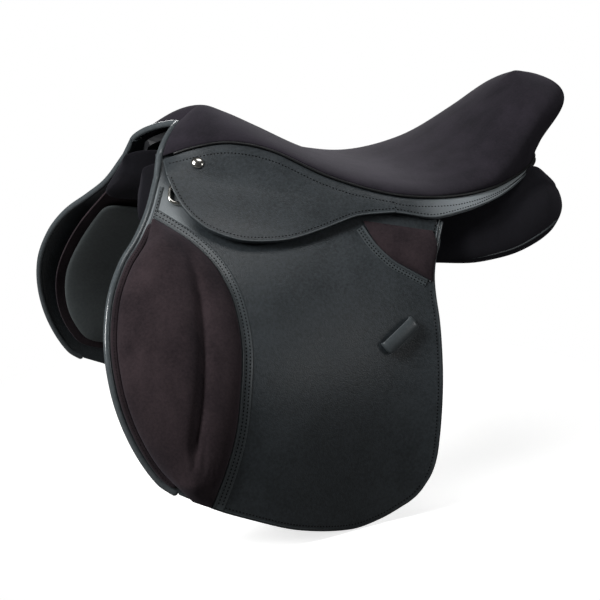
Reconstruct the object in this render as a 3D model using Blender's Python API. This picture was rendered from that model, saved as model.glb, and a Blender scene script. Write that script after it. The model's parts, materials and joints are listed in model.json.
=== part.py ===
"""All-purpose horse saddle, 17.5 inch seat, built as separate pieces.

Units are metres. +Z is up, -X is the front (pommel), +X the rear (cantle), and the near
side, on the rider's left, is -Y. The origin lies on the plane of symmetry, under the
deepest part of the seat, at the level where the back of the horse or the beam of a
saddle rack carries the panels. A half-width is a distance from the plane of symmetry,
so one set of sizes makes the near and the off side.
"""

import math

import bmesh
import bpy
from mathutils import Matrix, Vector

# Clearances between pieces
GAP = 0.0003
LAYER_GAP = 0.0006
FOLD_GAP = 0.0002
FOLD_EASE = 0.030

# The fold line of the flap, about which it lifts: x, half-width, z
FOLD_FRONT = Vector((-0.222, 0.070, 0.065))
FOLD_REAR = Vector((0.056, 0.152, 0.018))
# How far the side has spread at each drop below the fold line, at the front and the rear
SPREAD_FRONT = (
    (0.0, 0.0), (0.036, 0.031), (0.060, 0.060), (0.084, 0.087), (0.112, 0.111),
    (0.145, 0.134), (0.176, 0.149), (0.212, 0.159), (0.256, 0.165), (0.340, 0.169),
)
SPREAD_REAR = (
    (0.0, 0.0), (0.018, 0.009), (0.048, 0.023), (0.078, 0.035), (0.118, 0.049),
    (0.168, 0.061), (0.218, 0.067), (0.302, 0.070),
)
# How much the side narrows per height above the fold line, at places along the saddle
RISE_SLOPES = ((-0.222, 0.95), (-0.180, 0.68), (-0.146, 0.48), (-0.050, 0.50), (0.010, 0.60), (0.056, 0.80))
FOLD_LEAN = 0.62

# Leaves of the side, from the flap inwards
FLAP_THICK = 0.0040
GUARD_THICK = 0.0025
GUARD_PLAY = 0.0022
STRAP_THICK = 0.0035
STRAP_PLAY = 0.0009
WEB_THICK = 0.0015
SWEAT_THICK = 0.0025
GUARD_OUT = -GUARD_PLAY
STRAP_OUT = GUARD_OUT - GUARD_THICK - STRAP_PLAY
WEB_OUT = STRAP_OUT - STRAP_THICK - LAYER_GAP
SWEAT_OUT = WEB_OUT - WEB_THICK - LAYER_GAP
PANEL_OUT = SWEAT_OUT - SWEAT_THICK - 2 * LAYER_GAP

# The skirt, which covers the stirrup bar
SKIRT_STAND = 0.0062
SKIRT_THICK = 0.0032
SKIRT_IN = FLAP_THICK + SKIRT_STAND
SKIRT_OUT = SKIRT_IN + SKIRT_THICK

# Seat: the crest in the plane of symmetry (x, z) and the edge at the welt (x, half-width, z)
SEAT_CREST = (
    (-0.177, 0.114), (-0.155, 0.129), (-0.128, 0.121), (-0.090, 0.103), (-0.040, 0.0785),
    (0.010, 0.062), (0.070, 0.056), (0.130, 0.077), (0.180, 0.115), (0.213, 0.1425),
    (0.228, 0.151), (0.233, 0.151),
)
SEAT_EDGE = (
    (-0.213, 0.061, 0.087), (-0.180, 0.073, 0.098), (-0.146, 0.083, 0.102),
    (-0.105, 0.097, 0.093), (-0.052, 0.119, 0.067), (0.010, 0.140, 0.048),
    (0.070, 0.145, 0.042), (0.130, 0.133, 0.043), (0.180, 0.106, 0.049),
    (0.215, 0.070, 0.053), (0.238, 0.032, 0.054), (0.245, 0.0, 0.054),
)
SEAT_BULGE = (0.0, 0.0, 0.0, 0.0, 0.0, 0.0, 0.002, 0.006, 0.013, 0.027, 0.039, 0.041)
CROWN_POWERS = ((0.0, 1.44), (0.12, 1.52), (0.30, 2.0), (0.50, 2.1), (0.75, 2.0), (1.0, 2.2))
COVER_THICK = 0.0020
TREE_THICK = 0.0070
WEBBING_THICK = 0.0022
FOAM_FRONT = 0.008
FOAM_MIDDLE = 0.013
FOAM_REAR = 0.022
TREE_EDGE_DROP = 0.003
TREE_PLAY = 0.0008
TREE_SETBACK = 0.009
# Opening of the tree under the webbing, and what the inner layers cover, in squares of the shell's grid
WINDOW_SPAN = ((7, 17), (-2, 2))
WEBBING_SPAN = ((5, 17), (-8, 8))
PLATE_SPAN = ((1, 3), (-10, 10))
# Shares of the seat's length and of its half-width that the lining covers
LINING_SPAN = ((0.0, 0.92), (-0.40, 0.40))
WEBBING_GAP = 0.0009
FOAM_GAP = 0.0010
FOAM_RIM_DROP = 0.0016
PAD_GAP = 0.0012
PIPING_GAP = 0.0007
PLATE_THICK = 0.0030
LINING_THICK = 0.0020
CHANNEL_HALF = 0.036
CHANNEL_SHARE = 0.35

# Piping
PIPING_RADIUS = 0.0036
THIN_PIPING_RADIUS = 0.0022
WELT_RADIUS = 0.0013

# Stirrup bar: a plate on the rail of the tree, and a finger over which the leather hangs
BAR_X = -0.088
BAR_RISE = 0.018
BAR_LENGTH = 0.078
BAR_HEIGHT = 0.011
BAR_PLATE_THICK = 0.0025
BAR_SLOT = 0.0062
BAR_FINGER_THICK = 0.0034
BAR_BEND = 0.006
CATCH_LENGTH = 0.018
CATCH_NOSE = 0.004
CATCH_SHARE = 0.8

# The rail is the lower edge of the tree, beside the side leaves
RAIL_OUT = -0.0045
RAIL_RISE = 0.012
SHELL_COLUMNS = 24
SHELL_ROWS = 12
RAIL_SHARE = SHELL_ROWS / (SHELL_ROWS + 2)
RAIL_SPREAD = 1.15

# Notch of the flap's fixed strip, through which the stirrup bar stands out
NOTCH = (-0.140, -0.038)
NOTCH_RISE = 0.009
ROOT_TOP_DROP = 0.0095
ROOT_FRONT_X = -0.2130

# Girth straps: where each hangs and how far it reaches
STRAP_X = (-0.104, -0.046)
STRAP_WIDTH = 0.025
STRAP_TOP_DROP = 0.010
STRAP_END_Z = -0.236
STRAP_POINT = 0.014
WEB_WIDTH = 0.034
WEB_END_DROP = 0.024
WEB_RISE = 0.0142

# Buckle guard over the girth straps
GUARD_FRONT = -0.150
GUARD_REAR = -0.010
GUARD_TOP = -0.060
GUARD_BOTTOM = -0.130

# Dee and its chape
DEE_WIRE = 0.0016
DEE_WIDTH = 0.030
DEE_DEPTH = 0.020
DEE_X = -0.196
DEE_DROP = 0.006
DEE_LEAN = 0.12
DEE_PLAY = 0.0002
CHAPE_THICK = 0.0008
CHAPE_WIDTH = 0.014
CHAPE_TOP = 0.0045
CHAPE_SHORT = 0.0012

# Keeper on the flap
KEEPER_CENTRE = (-0.003, -0.0915)
KEEPER_LENGTH = 0.046
KEEPER_WIDTH = 0.0105
KEEPER_THICK = 0.0020
KEEPER_ROOM = 0.0070
KEEPER_END = 0.008
KEEPER_LEAN = math.radians(50.0)

NAIL_RADIUS = 0.0065
NAIL_HEIGHT = 0.0038
NAIL_SEAT = 0.0006
NAIL_RIM = 0.0008
NAIL_PLACE = (-0.181, 0.081)

# Outlines of the flap and of what lies on it, as x and z on the side
FLAP_FRONT = (
    (-0.2225, 0.0645), (-0.239, 0.034), (-0.257, 0.013), (-0.277, -0.006), (-0.293, -0.031),
    (-0.303, -0.063), (-0.305, -0.093), (-0.300, -0.130), (-0.287, -0.168), (-0.267, -0.202),
    (-0.250, -0.216),
)
FLAP_BOTTOM = (
    (-0.250, -0.216), (-0.218, -0.2315), (-0.182, -0.2465), (-0.129, -0.268), (-0.069, -0.282),
    (-0.033, -0.279), (-0.003, -0.269), (0.0215, -0.249),
)
FLAP_REAR = (
    (0.056, 0.0175), (0.0535, -0.003), (0.0465, -0.021), (0.042, -0.038), (0.043, -0.056),
    (0.044, -0.080), (0.0425, -0.130), (0.0395, -0.170), (0.035, -0.213), (0.0215, -0.249),
)
SKIRT_FRONT = ((-0.213, 0.0625), (-0.210, 0.050), (-0.2055, 0.036), (-0.1985, 0.0235))
SKIRT_BOTTOM = (
    (-0.1985, 0.0235), (-0.1855, 0.012), (-0.160, 0.002), (-0.135, -0.001), (-0.103, 0.000),
    (-0.070, 0.008), (-0.047, 0.015), (-0.026, 0.0205), (0.010, 0.0225),
)
KNEE_REAR = (
    (-0.229, 0.0345), (-0.207, 0.020), (-0.191, 0.001), (-0.179, -0.019), (-0.175, -0.048),
    (-0.179, -0.082), (-0.186, -0.117), (-0.193, -0.154), (-0.203, -0.187), (-0.219, -0.2295),
)
KNEE_CROWN = 0.013
KNEE_EDGE = 0.0022
KNEE_GROOVE = 0.0045
THIGH_FRONT = ((-0.021, 0.014), (-0.011, -0.004), (0.004, -0.020), (0.024, -0.032), (0.037, -0.0395))
THIGH_CROWN = 0.005
THIGH_TOP = (-0.021, 0.050)
THIGH_DROP = 0.013
THIGH_EDGE = 0.001
THIGH_REAR = ((0.0495, -0.008), (0.042, -0.030), (0.0405, -0.0425))
KNEE_INSET = 0.0085
KNEE_TOP = (-0.2345, 0.0335)
KNEE_TOE = (-0.236, -0.2225)
GROOVE_SHARE = 0.64
GROOVE_WIDTH = 0.09
THIGH_PIPING_TOP_SHARE = 0.03

# Skirt above the fold, and the tail that runs on to the cantle
SKIRT_TOP_DROP = 0.0038
SKIRT_FRONT_X = -0.213
TAIL_FROM = 0.0125
TAIL_TO = 0.205
TAIL_STEP = 0.0005
TAIL_DEPTH = ((0.012, 0.0255), (0.051, 0.024), (0.082, 0.021), (0.133, 0.020), (0.168, 0.014), (0.205, 0.007))
TAIL_OUT = ((0.012, 0.011), (0.056, 0.0155), (0.090, 0.012), (0.133, 0.006), (0.168, 0.004), (0.205, 0.002))

BINDING_RADIUS = 0.0040

# Sweat flap, and the lower leaf of the panel that lies under it
SWEAT_FRONT = (
    (-0.230, 0.050), (-0.262, 0.000), (-0.285, -0.060), (-0.291, -0.100), (-0.284, -0.150),
    (-0.262, -0.190),
)
SWEAT_BOTTOM = ((-0.262, -0.190), (-0.220, -0.206), (-0.150, -0.214), (-0.080, -0.210), (-0.022, -0.178))
SWEAT_REAR = (
    (0.048, 0.010), (0.044, -0.020), (0.036, -0.060), (0.022, -0.110), (0.002, -0.150), (-0.022, -0.178),
)
SWEAT_DROP = 0.009
LEAF_DROP = 0.046
LEAF_THICK = 0.014
LEAF_EDGE = 0.004
LEAF_INSET = 0.009

# Panel: the stuffed cushion that lies along the back of the horse
PANEL_TOP_RISE = 0.009
PANEL_FOOT_DROP = 0.044
PANEL_DEPTH_MIDDLE = 0.045
PANEL_FRONT_X = -0.232
PANEL_REAR_X = 0.243
PANEL_BULGE = 0.006
NOSE_LENGTH = 0.060
NOSE_TOP = 0.062
NOSE_SLOPE = 0.42
# Size of the cushion's section at shares of its length, at the front and at the rear
PANEL_NOSE = ((0.0, 0.55), (0.010, 0.82), (0.030, 0.95), (0.065, 1.0))
PANEL_HEEL = ((0.94, 1.0), (0.972, 0.96), (0.991, 0.86), (1.0, 0.62))
PANEL_PIPING_X = (0.075, 0.212)
PANEL_INNER_Z = (
    (-0.232, 0.050), (-0.200, 0.038), (-0.150, 0.022), (-0.100, 0.010), (-0.040, 0.002),
    (0.030, 0.0), (0.100, 0.002), (0.160, 0.006), (0.200, 0.012), (0.243, 0.024),
)
# Rear of the panel: x, half-width and z of the upper outer edge, then of the lower one
PANEL_REAR = (
    (0.056, 0.134, 0.021, 0.1595, -0.030), (0.100, 0.131, 0.026, 0.159, -0.033),
    (0.133, 0.124, 0.029, 0.155, -0.031), (0.160, 0.112, 0.032, 0.149, -0.027),
    (0.190, 0.096, 0.035, 0.138, -0.020), (0.211, 0.087, 0.036, 0.126, -0.012),
    (0.229, 0.079, 0.037, 0.112, -0.001), (0.243, 0.070, 0.037, 0.096, 0.011),
)

SIDES = (("near", -1.0), ("off", 1.0))


def clear_scene():
    """Remove every object of the file."""
    for old in list(bpy.data.objects):
        bpy.data.objects.remove(old, do_unlink=True)


def lerp(a, b, share):
    return a + (b - a) * share


def ease(share):
    share = min(max(share, 0.0), 1.0)
    return share * share * (3.0 - 2.0 * share)


class Course:
    """A smooth open curve through points, read by the share of its length."""

    def __init__(self, points):
        self.points = [Vector(point) for point in points]
        steps = [(b - a).length for a, b in zip(self.points, self.points[1:])]
        total = sum(steps)
        self.marks = [0.0]
        for step in steps:
            self.marks.append(self.marks[-1] + step / total)

    def slope(self, index):
        low = max(index - 1, 0)
        high = min(index + 1, len(self.points) - 1)
        span = self.marks[high] - self.marks[low]
        return (self.points[high] - self.points[low]) / span

    def __call__(self, share):
        share = min(max(share, 0.0), 1.0)
        index = 0
        while index < len(self.marks) - 2 and share > self.marks[index + 1]:
            index += 1
        span = self.marks[index + 1] - self.marks[index]
        s = (share - self.marks[index]) / span
        a, b = self.points[index], self.points[index + 1]
        da, db = self.slope(index) * span, self.slope(index + 1) * span
        return (
            a * (2 * s ** 3 - 3 * s ** 2 + 1)
            + da * (s ** 3 - 2 * s ** 2 + s)
            + b * (3 * s ** 2 - 2 * s ** 3)
            + db * (s ** 3 - s ** 2)
        )


def share_over(curve, x):
    """Share at which a curve that runs rearwards passes over a place along the saddle."""
    low, high = 0.0, 1.0
    for _ in range(30):
        middle = (low + high) / 2
        if curve(middle).x < x:
            low = middle
        else:
            high = middle
    return low


class Stations:
    """A smooth curve through points that lie at even shares."""

    def __init__(self, points):
        self.points = [Vector(point) for point in points]

    def __call__(self, share):
        last = len(self.points) - 1
        place = min(max(share, 0.0), 1.0) * last
        index = min(int(place), last - 1)
        s = place - index
        a, b = self.points[index], self.points[index + 1]
        before = self.points[max(index - 1, 0)]
        after = self.points[min(index + 2, last)]
        da = (b - before) * (0.5 if index > 0 else 1.0)
        db = (after - a) * (0.5 if index < last - 1 else 1.0)
        return (
            a * (2 * s ** 3 - 3 * s ** 2 + 1)
            + da * (s ** 3 - 2 * s ** 2 + s)
            + b * (3 * s ** 2 - 2 * s ** 3)
            + db * (s ** 3 - s ** 2)
        )


def graph(pairs, at):
    """Smooth value at a place, from (place, value) pairs, and level or straight beyond."""
    if at <= pairs[0][0]:
        return pairs[0][1]
    if at >= pairs[-1][0]:
        return pairs[-1][1]
    index = 0
    while at > pairs[index + 1][0]:
        index += 1

    def slope(i):
        low, high = pairs[max(i - 1, 0)], pairs[min(i + 1, len(pairs) - 1)]
        return (high[1] - low[1]) / (high[0] - low[0])

    (x0, y0), (x1, y1) = pairs[index], pairs[index + 1]
    span = x1 - x0
    s = (at - x0) / span
    return (
        y0 * (2 * s ** 3 - 3 * s ** 2 + 1)
        + slope(index) * span * (s ** 3 - 2 * s ** 2 + s)
        + y1 * (3 * s ** 2 - 2 * s ** 3)
        + slope(index + 1) * span * (s ** 3 - s ** 2)
    )


# The side of the saddle

def fold_share(x):
    return (x - FOLD_FRONT.x) / (FOLD_REAR.x - FOLD_FRONT.x)


def fold_z(x):
    """Height of the fold line over a place along the saddle."""
    return lerp(FOLD_FRONT.z, FOLD_REAR.z, fold_share(x))


def half_width(x, z):
    """Half-width of the inner face of the flap."""
    share = fold_share(x)
    at_fold = lerp(FOLD_FRONT.y, FOLD_REAR.y, share)
    drop = fold_z(x) - z
    if drop < 0.0:
        return at_fold + graph(RISE_SLOPES, x) * drop
    return at_fold + lerp(graph(SPREAD_FRONT, drop), graph(SPREAD_REAR, drop), ease(share))


def fold_normal():
    """Direction out from the side at the fold, square to the fold line all along it."""
    run = FOLD_REAR - FOLD_FRONT
    return Vector((-(run.y + FOLD_LEAN * run.z) / run.x, 1.0, FOLD_LEAN)).normalized()


def side_normal(x, z):
    """Direction out from the side, which eases into the one direction of the fold."""
    step = 0.002
    along = (half_width(x + step, z) - half_width(x - step, z)) / (2 * step)
    rise = (half_width(x, z + step) - half_width(x, z - step)) / (2 * step)
    normal = Vector((-along, 1.0, -rise)).normalized()
    away = ease((abs(fold_z(x) - z) - FOLD_GAP) / FOLD_EASE)
    return fold_normal().lerp(normal, away).normalized()


def on_side(x, z, out):
    """Point at a distance out from the inner face of the flap."""
    return Vector((x, half_width(x, z), z)) + side_normal(x, z) * out


def under_fold(x, drop):
    """Place on the side at a drop below the fold line, as x and z."""
    return Vector((x, fold_z(x) - drop))


def inset(points, distance):
    """Move the points of a curve to its left by a distance."""
    moved = []
    for index, point in enumerate(points):
        before = Vector(points[max(index - 1, 0)])
        after = Vector(points[min(index + 1, len(points) - 1)])
        run = (after - before).normalized()
        moved.append(Vector(point) + Vector((-run.y, run.x)) * distance)
    return moved


def leaf_shape(top, rear, bottom, front):
    """Surface between four curves: top and bottom run rearwards, front and rear run down."""
    top, rear, bottom, front = Course(top), Course(rear), Course(bottom), Course(front)

    def place(u, v):
        corners = (
            top(0) * (1 - u) * (1 - v) + top(1) * u * (1 - v)
            + bottom(0) * (1 - u) * v + bottom(1) * u * v
        )
        ruled = top(u) * (1 - v) + bottom(u) * v + front(v) * (1 - u) + rear(v) * u
        return ruled - corners

    return place


# Solids

def finish(bm, name, colour, roughness, metallic=0.0):
    """Make an object of a mesh, with its own material."""
    mesh = bpy.data.meshes.new(name)
    bm.to_mesh(mesh)
    bm.free()
    mesh.shade_smooth()
    mesh.set_sharp_from_angle(angle=math.radians(40.0))
    obj = bpy.data.objects.new(name, mesh)
    bpy.context.scene.collection.objects.link(obj)
    dress(obj, name, colour, roughness, metallic)
    return obj


def dress(obj, name, colour, roughness, metallic):
    material = bpy.data.materials.new(name)
    material.use_nodes = True
    shader = material.node_tree.nodes["Principled BSDF"]
    shader.inputs["Base Color"].default_value = (*colour, 1.0)
    shader.inputs["Roughness"].default_value = roughness
    shader.inputs["Metallic"].default_value = metallic
    obj.data.materials.append(material)


def sheet(columns, rows, outer, inner, side=1.0, hole=None):
    """Closed solid between two faces, each given as a function of u and v from 0 to 1.

    Both faces start as one grid. Places where hole(u, v) is true stay open, and every
    open edge is walled from the outer to the inner face.
    """
    bm = bmesh.new()
    bmesh.ops.create_grid(bm, x_segments=columns, y_segments=rows, size=0.5)
    u_layer = bm.verts.layers.float.new("u")
    v_layer = bm.verts.layers.float.new("v")
    for vert in bm.verts:
        vert[u_layer] = vert.co.x + 0.5
        vert[v_layer] = vert.co.y + 0.5
    if hole:
        cut = [
            face for face in bm.faces
            if hole(face.calc_center_median().x + 0.5, face.calc_center_median().y + 0.5)
        ]
        bmesh.ops.delete(bm, geom=cut, context="FACES")
    # One split of the squares for every face, so that sheets on one grid stay parallel
    bmesh.ops.triangulate(bm, faces=bm.faces[:])
    for vert in bm.verts:
        vert.co = outer(vert[u_layer], vert[v_layer])
        vert.co.y *= side
    bmesh.ops.remove_doubles(bm, verts=bm.verts, dist=1e-6)
    rim = [edge for edge in bm.edges if len(edge.link_faces) == 1]
    copy = bmesh.ops.duplicate(bm, geom=bm.verts[:] + bm.edges[:] + bm.faces[:])
    twin = copy["vert_map"]
    bmesh.ops.reverse_faces(bm, faces=[f for f in copy["geom"] if isinstance(f, bmesh.types.BMFace)])
    for vert in [v for v in copy["geom"] if isinstance(v, bmesh.types.BMVert)]:
        vert.co = inner(vert[u_layer], vert[v_layer])
        vert.co.y *= side
    for edge in rim:
        a, b = edge.verts
        bm.faces.new((a, b, twin[b], twin[a]))
    bmesh.ops.recalc_face_normals(bm, faces=bm.faces)
    return bm


def leaf(columns, rows, shape, inner, outer, side):
    """Sheet that follows the side, between two distances out from the flap's inner face.

    inner and outer are distances, or functions of u and v that give one.
    """
    def at(level):
        def place(u, v):
            where = shape(u, v)
            return on_side(where.x, where.y, level(u, v) if callable(level) else level)
        return place

    return sheet(columns, rows, at(outer), at(inner), side)


def tube(name, points, radius, colour, roughness, metallic=0.0, ring=1, closed=False):
    """Round cord or wire along points, with filled ends."""
    curve = bpy.data.curves.new(name, "CURVE")
    curve.dimensions = "3D"
    curve.bevel_depth = radius
    curve.bevel_resolution = ring
    curve.use_fill_caps = True
    run = curve.splines.new("POLY")
    run.points.add(len(points) - 1)
    for spot, point in zip(run.points, points):
        spot.co = (*point, 1.0)
    run.use_cyclic_u = closed
    obj = bpy.data.objects.new(name, curve)
    bpy.context.scene.collection.objects.link(obj)
    dress(obj, name, colour, roughness, metallic)
    return obj


def solid(faces_of, name, look, side=1.0):
    """Object of points and faces, with the points mirrored for the near side."""
    points, faces = faces_of
    bm = bmesh.new()
    verts = [bm.verts.new((p.x, p.y * side, p.z)) for p in points]
    for face in faces:
        bm.faces.new([verts[i] for i in face])
    bmesh.ops.remove_doubles(bm, verts=bm.verts, dist=1e-6)
    bmesh.ops.recalc_face_normals(bm, faces=bm.faces)
    return finish(bm, name, *look)


class Place:
    """Frame on the side of the saddle: along it to the rear, up along it, and out from it."""

    def __init__(self, x, z, out, lean=0.0):
        self.origin = on_side(x, z, out)
        self.out = side_normal(x, z)
        run = FOLD_REAR - FOLD_FRONT
        run = (run - self.out * run.dot(self.out)).normalized()
        self.along = Matrix.Rotation(lean, 3, self.out) @ run
        self.up = self.along.cross(self.out)
        if self.up.z < 0.0:
            self.up = -self.up

    def __call__(self, along, up, out=0.0):
        return self.origin + self.along * along + self.up * up + self.out * out


def bar_of(profile, place, low, high, flat=False):
    """Prism: a profile of (along, out) points from a low to a high place along up.

    A flat one has a profile of (along, up) points and runs from low to high along out.
    """
    count = len(profile)
    points = []
    for level in (low, high):
        points += [place(a, b, level) if flat else place(a, level, b) for a, b in profile]
    faces = [tuple(range(count)), tuple(range(count, 2 * count))]
    faces += [(i, (i + 1) % count, count + (i + 1) % count, count + i) for i in range(count)]
    return points, faces


def loop_of(outer, inner, place, low, high):
    """Closed band: two profiles of (up, out) points with as many points, along a width."""
    count = len(outer)
    points = []
    for a in (low, high):
        points += [place(a, w, n) for w, n in outer] + [place(a, w, n) for w, n in inner]
    faces = []
    for i in range(count):
        j = (i + 1) % count
        faces.append((i, j, count + j, count + i))
        faces.append((2 * count + i, 2 * count + j, 3 * count + j, 3 * count + i))
        faces.append((i, j, 2 * count + j, 2 * count + i))
        faces.append((count + i, count + j, 3 * count + j, 3 * count + i))
    return points, faces


def hang(obj, pivot):
    """Put the origin of a moving piece on its joint, leaving the piece where it is."""
    obj.data.transform(Matrix.Translation(-pivot))
    obj.location = pivot


def mirrored(points, side):
    return [Vector((p.x, p.y * side, p.z)) for p in points]


# Finishes: colour, roughness, metallic
SUEDE = ((0.030, 0.025, 0.028), 0.95, 0.0)
GRAIN = ((0.050, 0.056, 0.060), 0.55, 0.0)
PIPE = ((0.170, 0.180, 0.185), 0.30, 0.0)
BLACK = ((0.012, 0.012, 0.013), 0.60, 0.0)
FOAM = ((0.60, 0.58, 0.50), 0.95, 0.0)
TREE = ((0.030, 0.030, 0.032), 0.50, 0.0)
WEB = ((0.045, 0.045, 0.045), 0.90, 0.0)
STEEL = ((0.55, 0.56, 0.57), 0.28, 1.0)
NICKEL = ((0.72, 0.72, 0.70), 0.16, 1.0)


# Seat, tree and what lies between them

crest = Stations(SEAT_CREST)
edge = Stations(SEAT_EDGE)
bulge = Stations([(value, 0.0) for value in SEAT_BULGE])


def foam_depth(u):
    """Depth of the foam under the crest of the seat."""
    return graph(((0.0, FOAM_FRONT), (0.12, 0.016), (0.35, FOAM_MIDDLE), (0.65, FOAM_MIDDLE),
                  (0.85, FOAM_REAR), (1.0, FOAM_REAR)), u)


def dome(u, t, top, rim, swell):
    """Point of a dome: t is 0 on the crest, and -1 and 1 on its two edges."""
    power = graph(CROWN_POWERS, u)
    angle = abs(t) * math.pi / 2
    across = math.sin(angle) ** (2 / power)
    up = max(math.cos(angle), 0.0) ** (2 / power)
    x = lerp(top.x, rim.x, across)
    half = rim.y * across
    z = lerp(rim.z, top.y, up)
    run = Vector((rim.x - top.x, rim.y))
    if run.length > 1e-9 and u > 0.5:
        # The run turns from sideways to rearwards round the cantle
        back = ease((u - 0.5) / 0.5)
        run = Vector((run.x * back + 0.02 * back * back, rim.y)).normalized()
    else:
        run = Vector((0.0, 1.0))
    amount = swell * math.sin(2 * angle) ** 1.4 if 0.0 < abs(t) < 1.0 else 0.0
    x += run.x * amount
    half += run.y * amount
    return Vector((x, math.copysign(half, t) if t else 0.0, z))


def seat_top(u, t):
    return dome(u, t, crest(u), edge(u), bulge(u).x)


def beside_leaves(x):
    """1 where the tree lies beside the leaves of the side, easing to 0 behind them."""
    return 1.0 - ease((x - 0.020) / 0.060)


def rail_half(x, z):
    return half_width(min(x, FOLD_REAR.x), z) + RAIL_OUT * RAIL_SPREAD


def tree_top(u, t):
    top = crest(u)
    rim = edge(u)
    depth = COVER_THICK + LAYER_GAP + foam_depth(u)
    shrink = SKIRT_THICK + FLAP_THICK + SKIRT_STAND + TREE_PLAY
    lean = ease((u - 0.72) / 0.28)
    z = min(rim.z - TREE_EDGE_DROP, top.y - depth - 0.001)
    half = lerp(rim.y - shrink * (1 - lean * 0.5), rail_half(rim.x, z), beside_leaves(rim.x))
    setback = TREE_SETBACK * (1.0 - ease(u / 0.2))
    rim = Vector((rim.x - shrink * lean + setback, max(half, 0.0) if u < 0.999 else 0.0, z))
    top = Vector((top.x - 0.012 * lean + setback, top.y - depth))
    return dome(u, t, top, rim, bulge(u).x * 0.55)


def shell_normal(surface, u, t):
    step = 0.01
    seam = u > 0.999
    # The two halves meet behind the cantle, so the seam takes the direction beside it
    u = min(u, 1.0 - 3 * step)
    u0, u1 = max(u - step, 0.0), u + step
    t0, t1 = max(t - step, -1.0), min(t + step, 1.0)
    along = surface(u1, t) - surface(u0, t)
    across = surface(u, t1) - surface(u, t0)
    normal = along.cross(across).normalized()
    if abs(t) < 1e-6 or seam:
        normal.y = 0.0
        normal.normalize()
    return normal


def offset(surface, distance, share_of_u=(0.0, 1.0), share_of_t=(-1.0, 1.0)):
    """Face parallel to a surface, on a stretch of its u and t."""
    def place(p, q):
        u = lerp(share_of_u[0], share_of_u[1], p)
        t = lerp(share_of_t[0], share_of_t[1], q)
        return surface(u, t) + shell_normal(surface, u, t) * distance
    return place


def foam_over(p, q):
    """Upper side of the foam, which dips below the cover's turned edge at its rim."""
    point = offset(seat_top, -COVER_THICK - FOAM_GAP)(p, q)
    if q < 0.001 or q > 0.999:
        point.z -= FOAM_RIM_DROP
    return point


def foam_under(p, q):
    """Under side of the foam, which keeps to the height of the seat's edge at its rim."""
    point = offset(tree_top, WEBBING_THICK + 2 * WEBBING_GAP)(p, q)
    if q < 0.001 or q > 0.999:
        point.z = max(point.z, edge(p).z - FOAM_RIM_DROP - TREE_EDGE_DROP)
    return point


def build_seat():
    grid = (SHELL_COLUMNS, SHELL_ROWS)
    cover = sheet(*grid, offset(seat_top, 0.0), offset(seat_top, -COVER_THICK))
    finish(cover, "seat_cover", *SUEDE)
    foam = sheet(*grid, foam_over, foam_under)
    finish(foam, "seat_foam", *FOAM)


def on_grid(span):
    """Shares of a span given in squares of the shell's grid."""
    (u0, u1), (t0, t1) = span
    return (u0 / SHELL_COLUMNS, u1 / SHELL_COLUMNS), (t0 / SHELL_ROWS, t1 / SHELL_ROWS)


def build_tree():
    def outer(u, t):
        if abs(t) <= RAIL_SHARE:
            return tree_top(u, t / RAIL_SHARE)
        return rail(u, math.copysign((abs(t) - RAIL_SHARE) / (1 - RAIL_SHARE), t))

    rows = SHELL_ROWS + 2
    (first, last), (low, high) = WINDOW_SPAN

    def window(p, q):
        return first < p * SHELL_COLUMNS < last and low < (q - 0.5) * rows < high

    body = sheet(SHELL_COLUMNS, rows, offset(outer, 0.0), offset(outer, -TREE_THICK), hole=window)
    finish(body, "tree", *TREE)
    span = on_grid(WEBBING_SPAN)
    webbing = sheet(12, 8, offset(tree_top, WEBBING_THICK + WEBBING_GAP, *span),
                    offset(tree_top, WEBBING_GAP, *span))
    finish(webbing, "seat_webbing", *WEB)
    span = on_grid(PLATE_SPAN)
    under = -TREE_THICK - LAYER_GAP
    plate = sheet(2, 10, offset(tree_top, under, *span), offset(tree_top, under - PLATE_THICK, *span))
    finish(plate, "gullet_plate", *STEEL)
    under -= PLATE_THICK + LAYER_GAP
    lining = sheet(14, 6, offset(tree_top, under, *LINING_SPAN),
                   offset(tree_top, under - LINING_THICK, *LINING_SPAN))
    finish(lining, "gullet_lining", *BLACK)


def rail(u, t):
    """Point of the tree's rail: t is 0 at the rim of the shell, and -1 and 1 at its lower edge."""
    rim = tree_top(u, 1.0)
    kept = beside_leaves(rim.x)
    z = lerp(rim.z, lerp(rim.z - 0.003, fold_z(rim.x) + RAIL_RISE, kept), abs(t))
    half = lerp(rim.y, rail_half(rim.x, z), kept)
    return Vector((rim.x, math.copysign(half, t), z))


# Leaves of the side

def along_fold(x0, x1, drop):
    """Points of a line parallel to the fold line, at a drop below it."""
    return [under_fold(x0, drop), under_fold(lerp(x0, x1, 0.5), drop), under_fold(x1, drop)]


def lift_line(side):
    """A point of the line about which the flap and the skirt lift: the skirt's outer face."""
    middle = (FOLD_FRONT + FOLD_REAR) / 2
    point = middle + fold_normal() * SKIRT_OUT
    return Vector((point.x, point.y * side, point.z))


def edge_at(x):
    """Edge of the seat over a place along the saddle."""
    return edge(share_over(edge, x))


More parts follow.
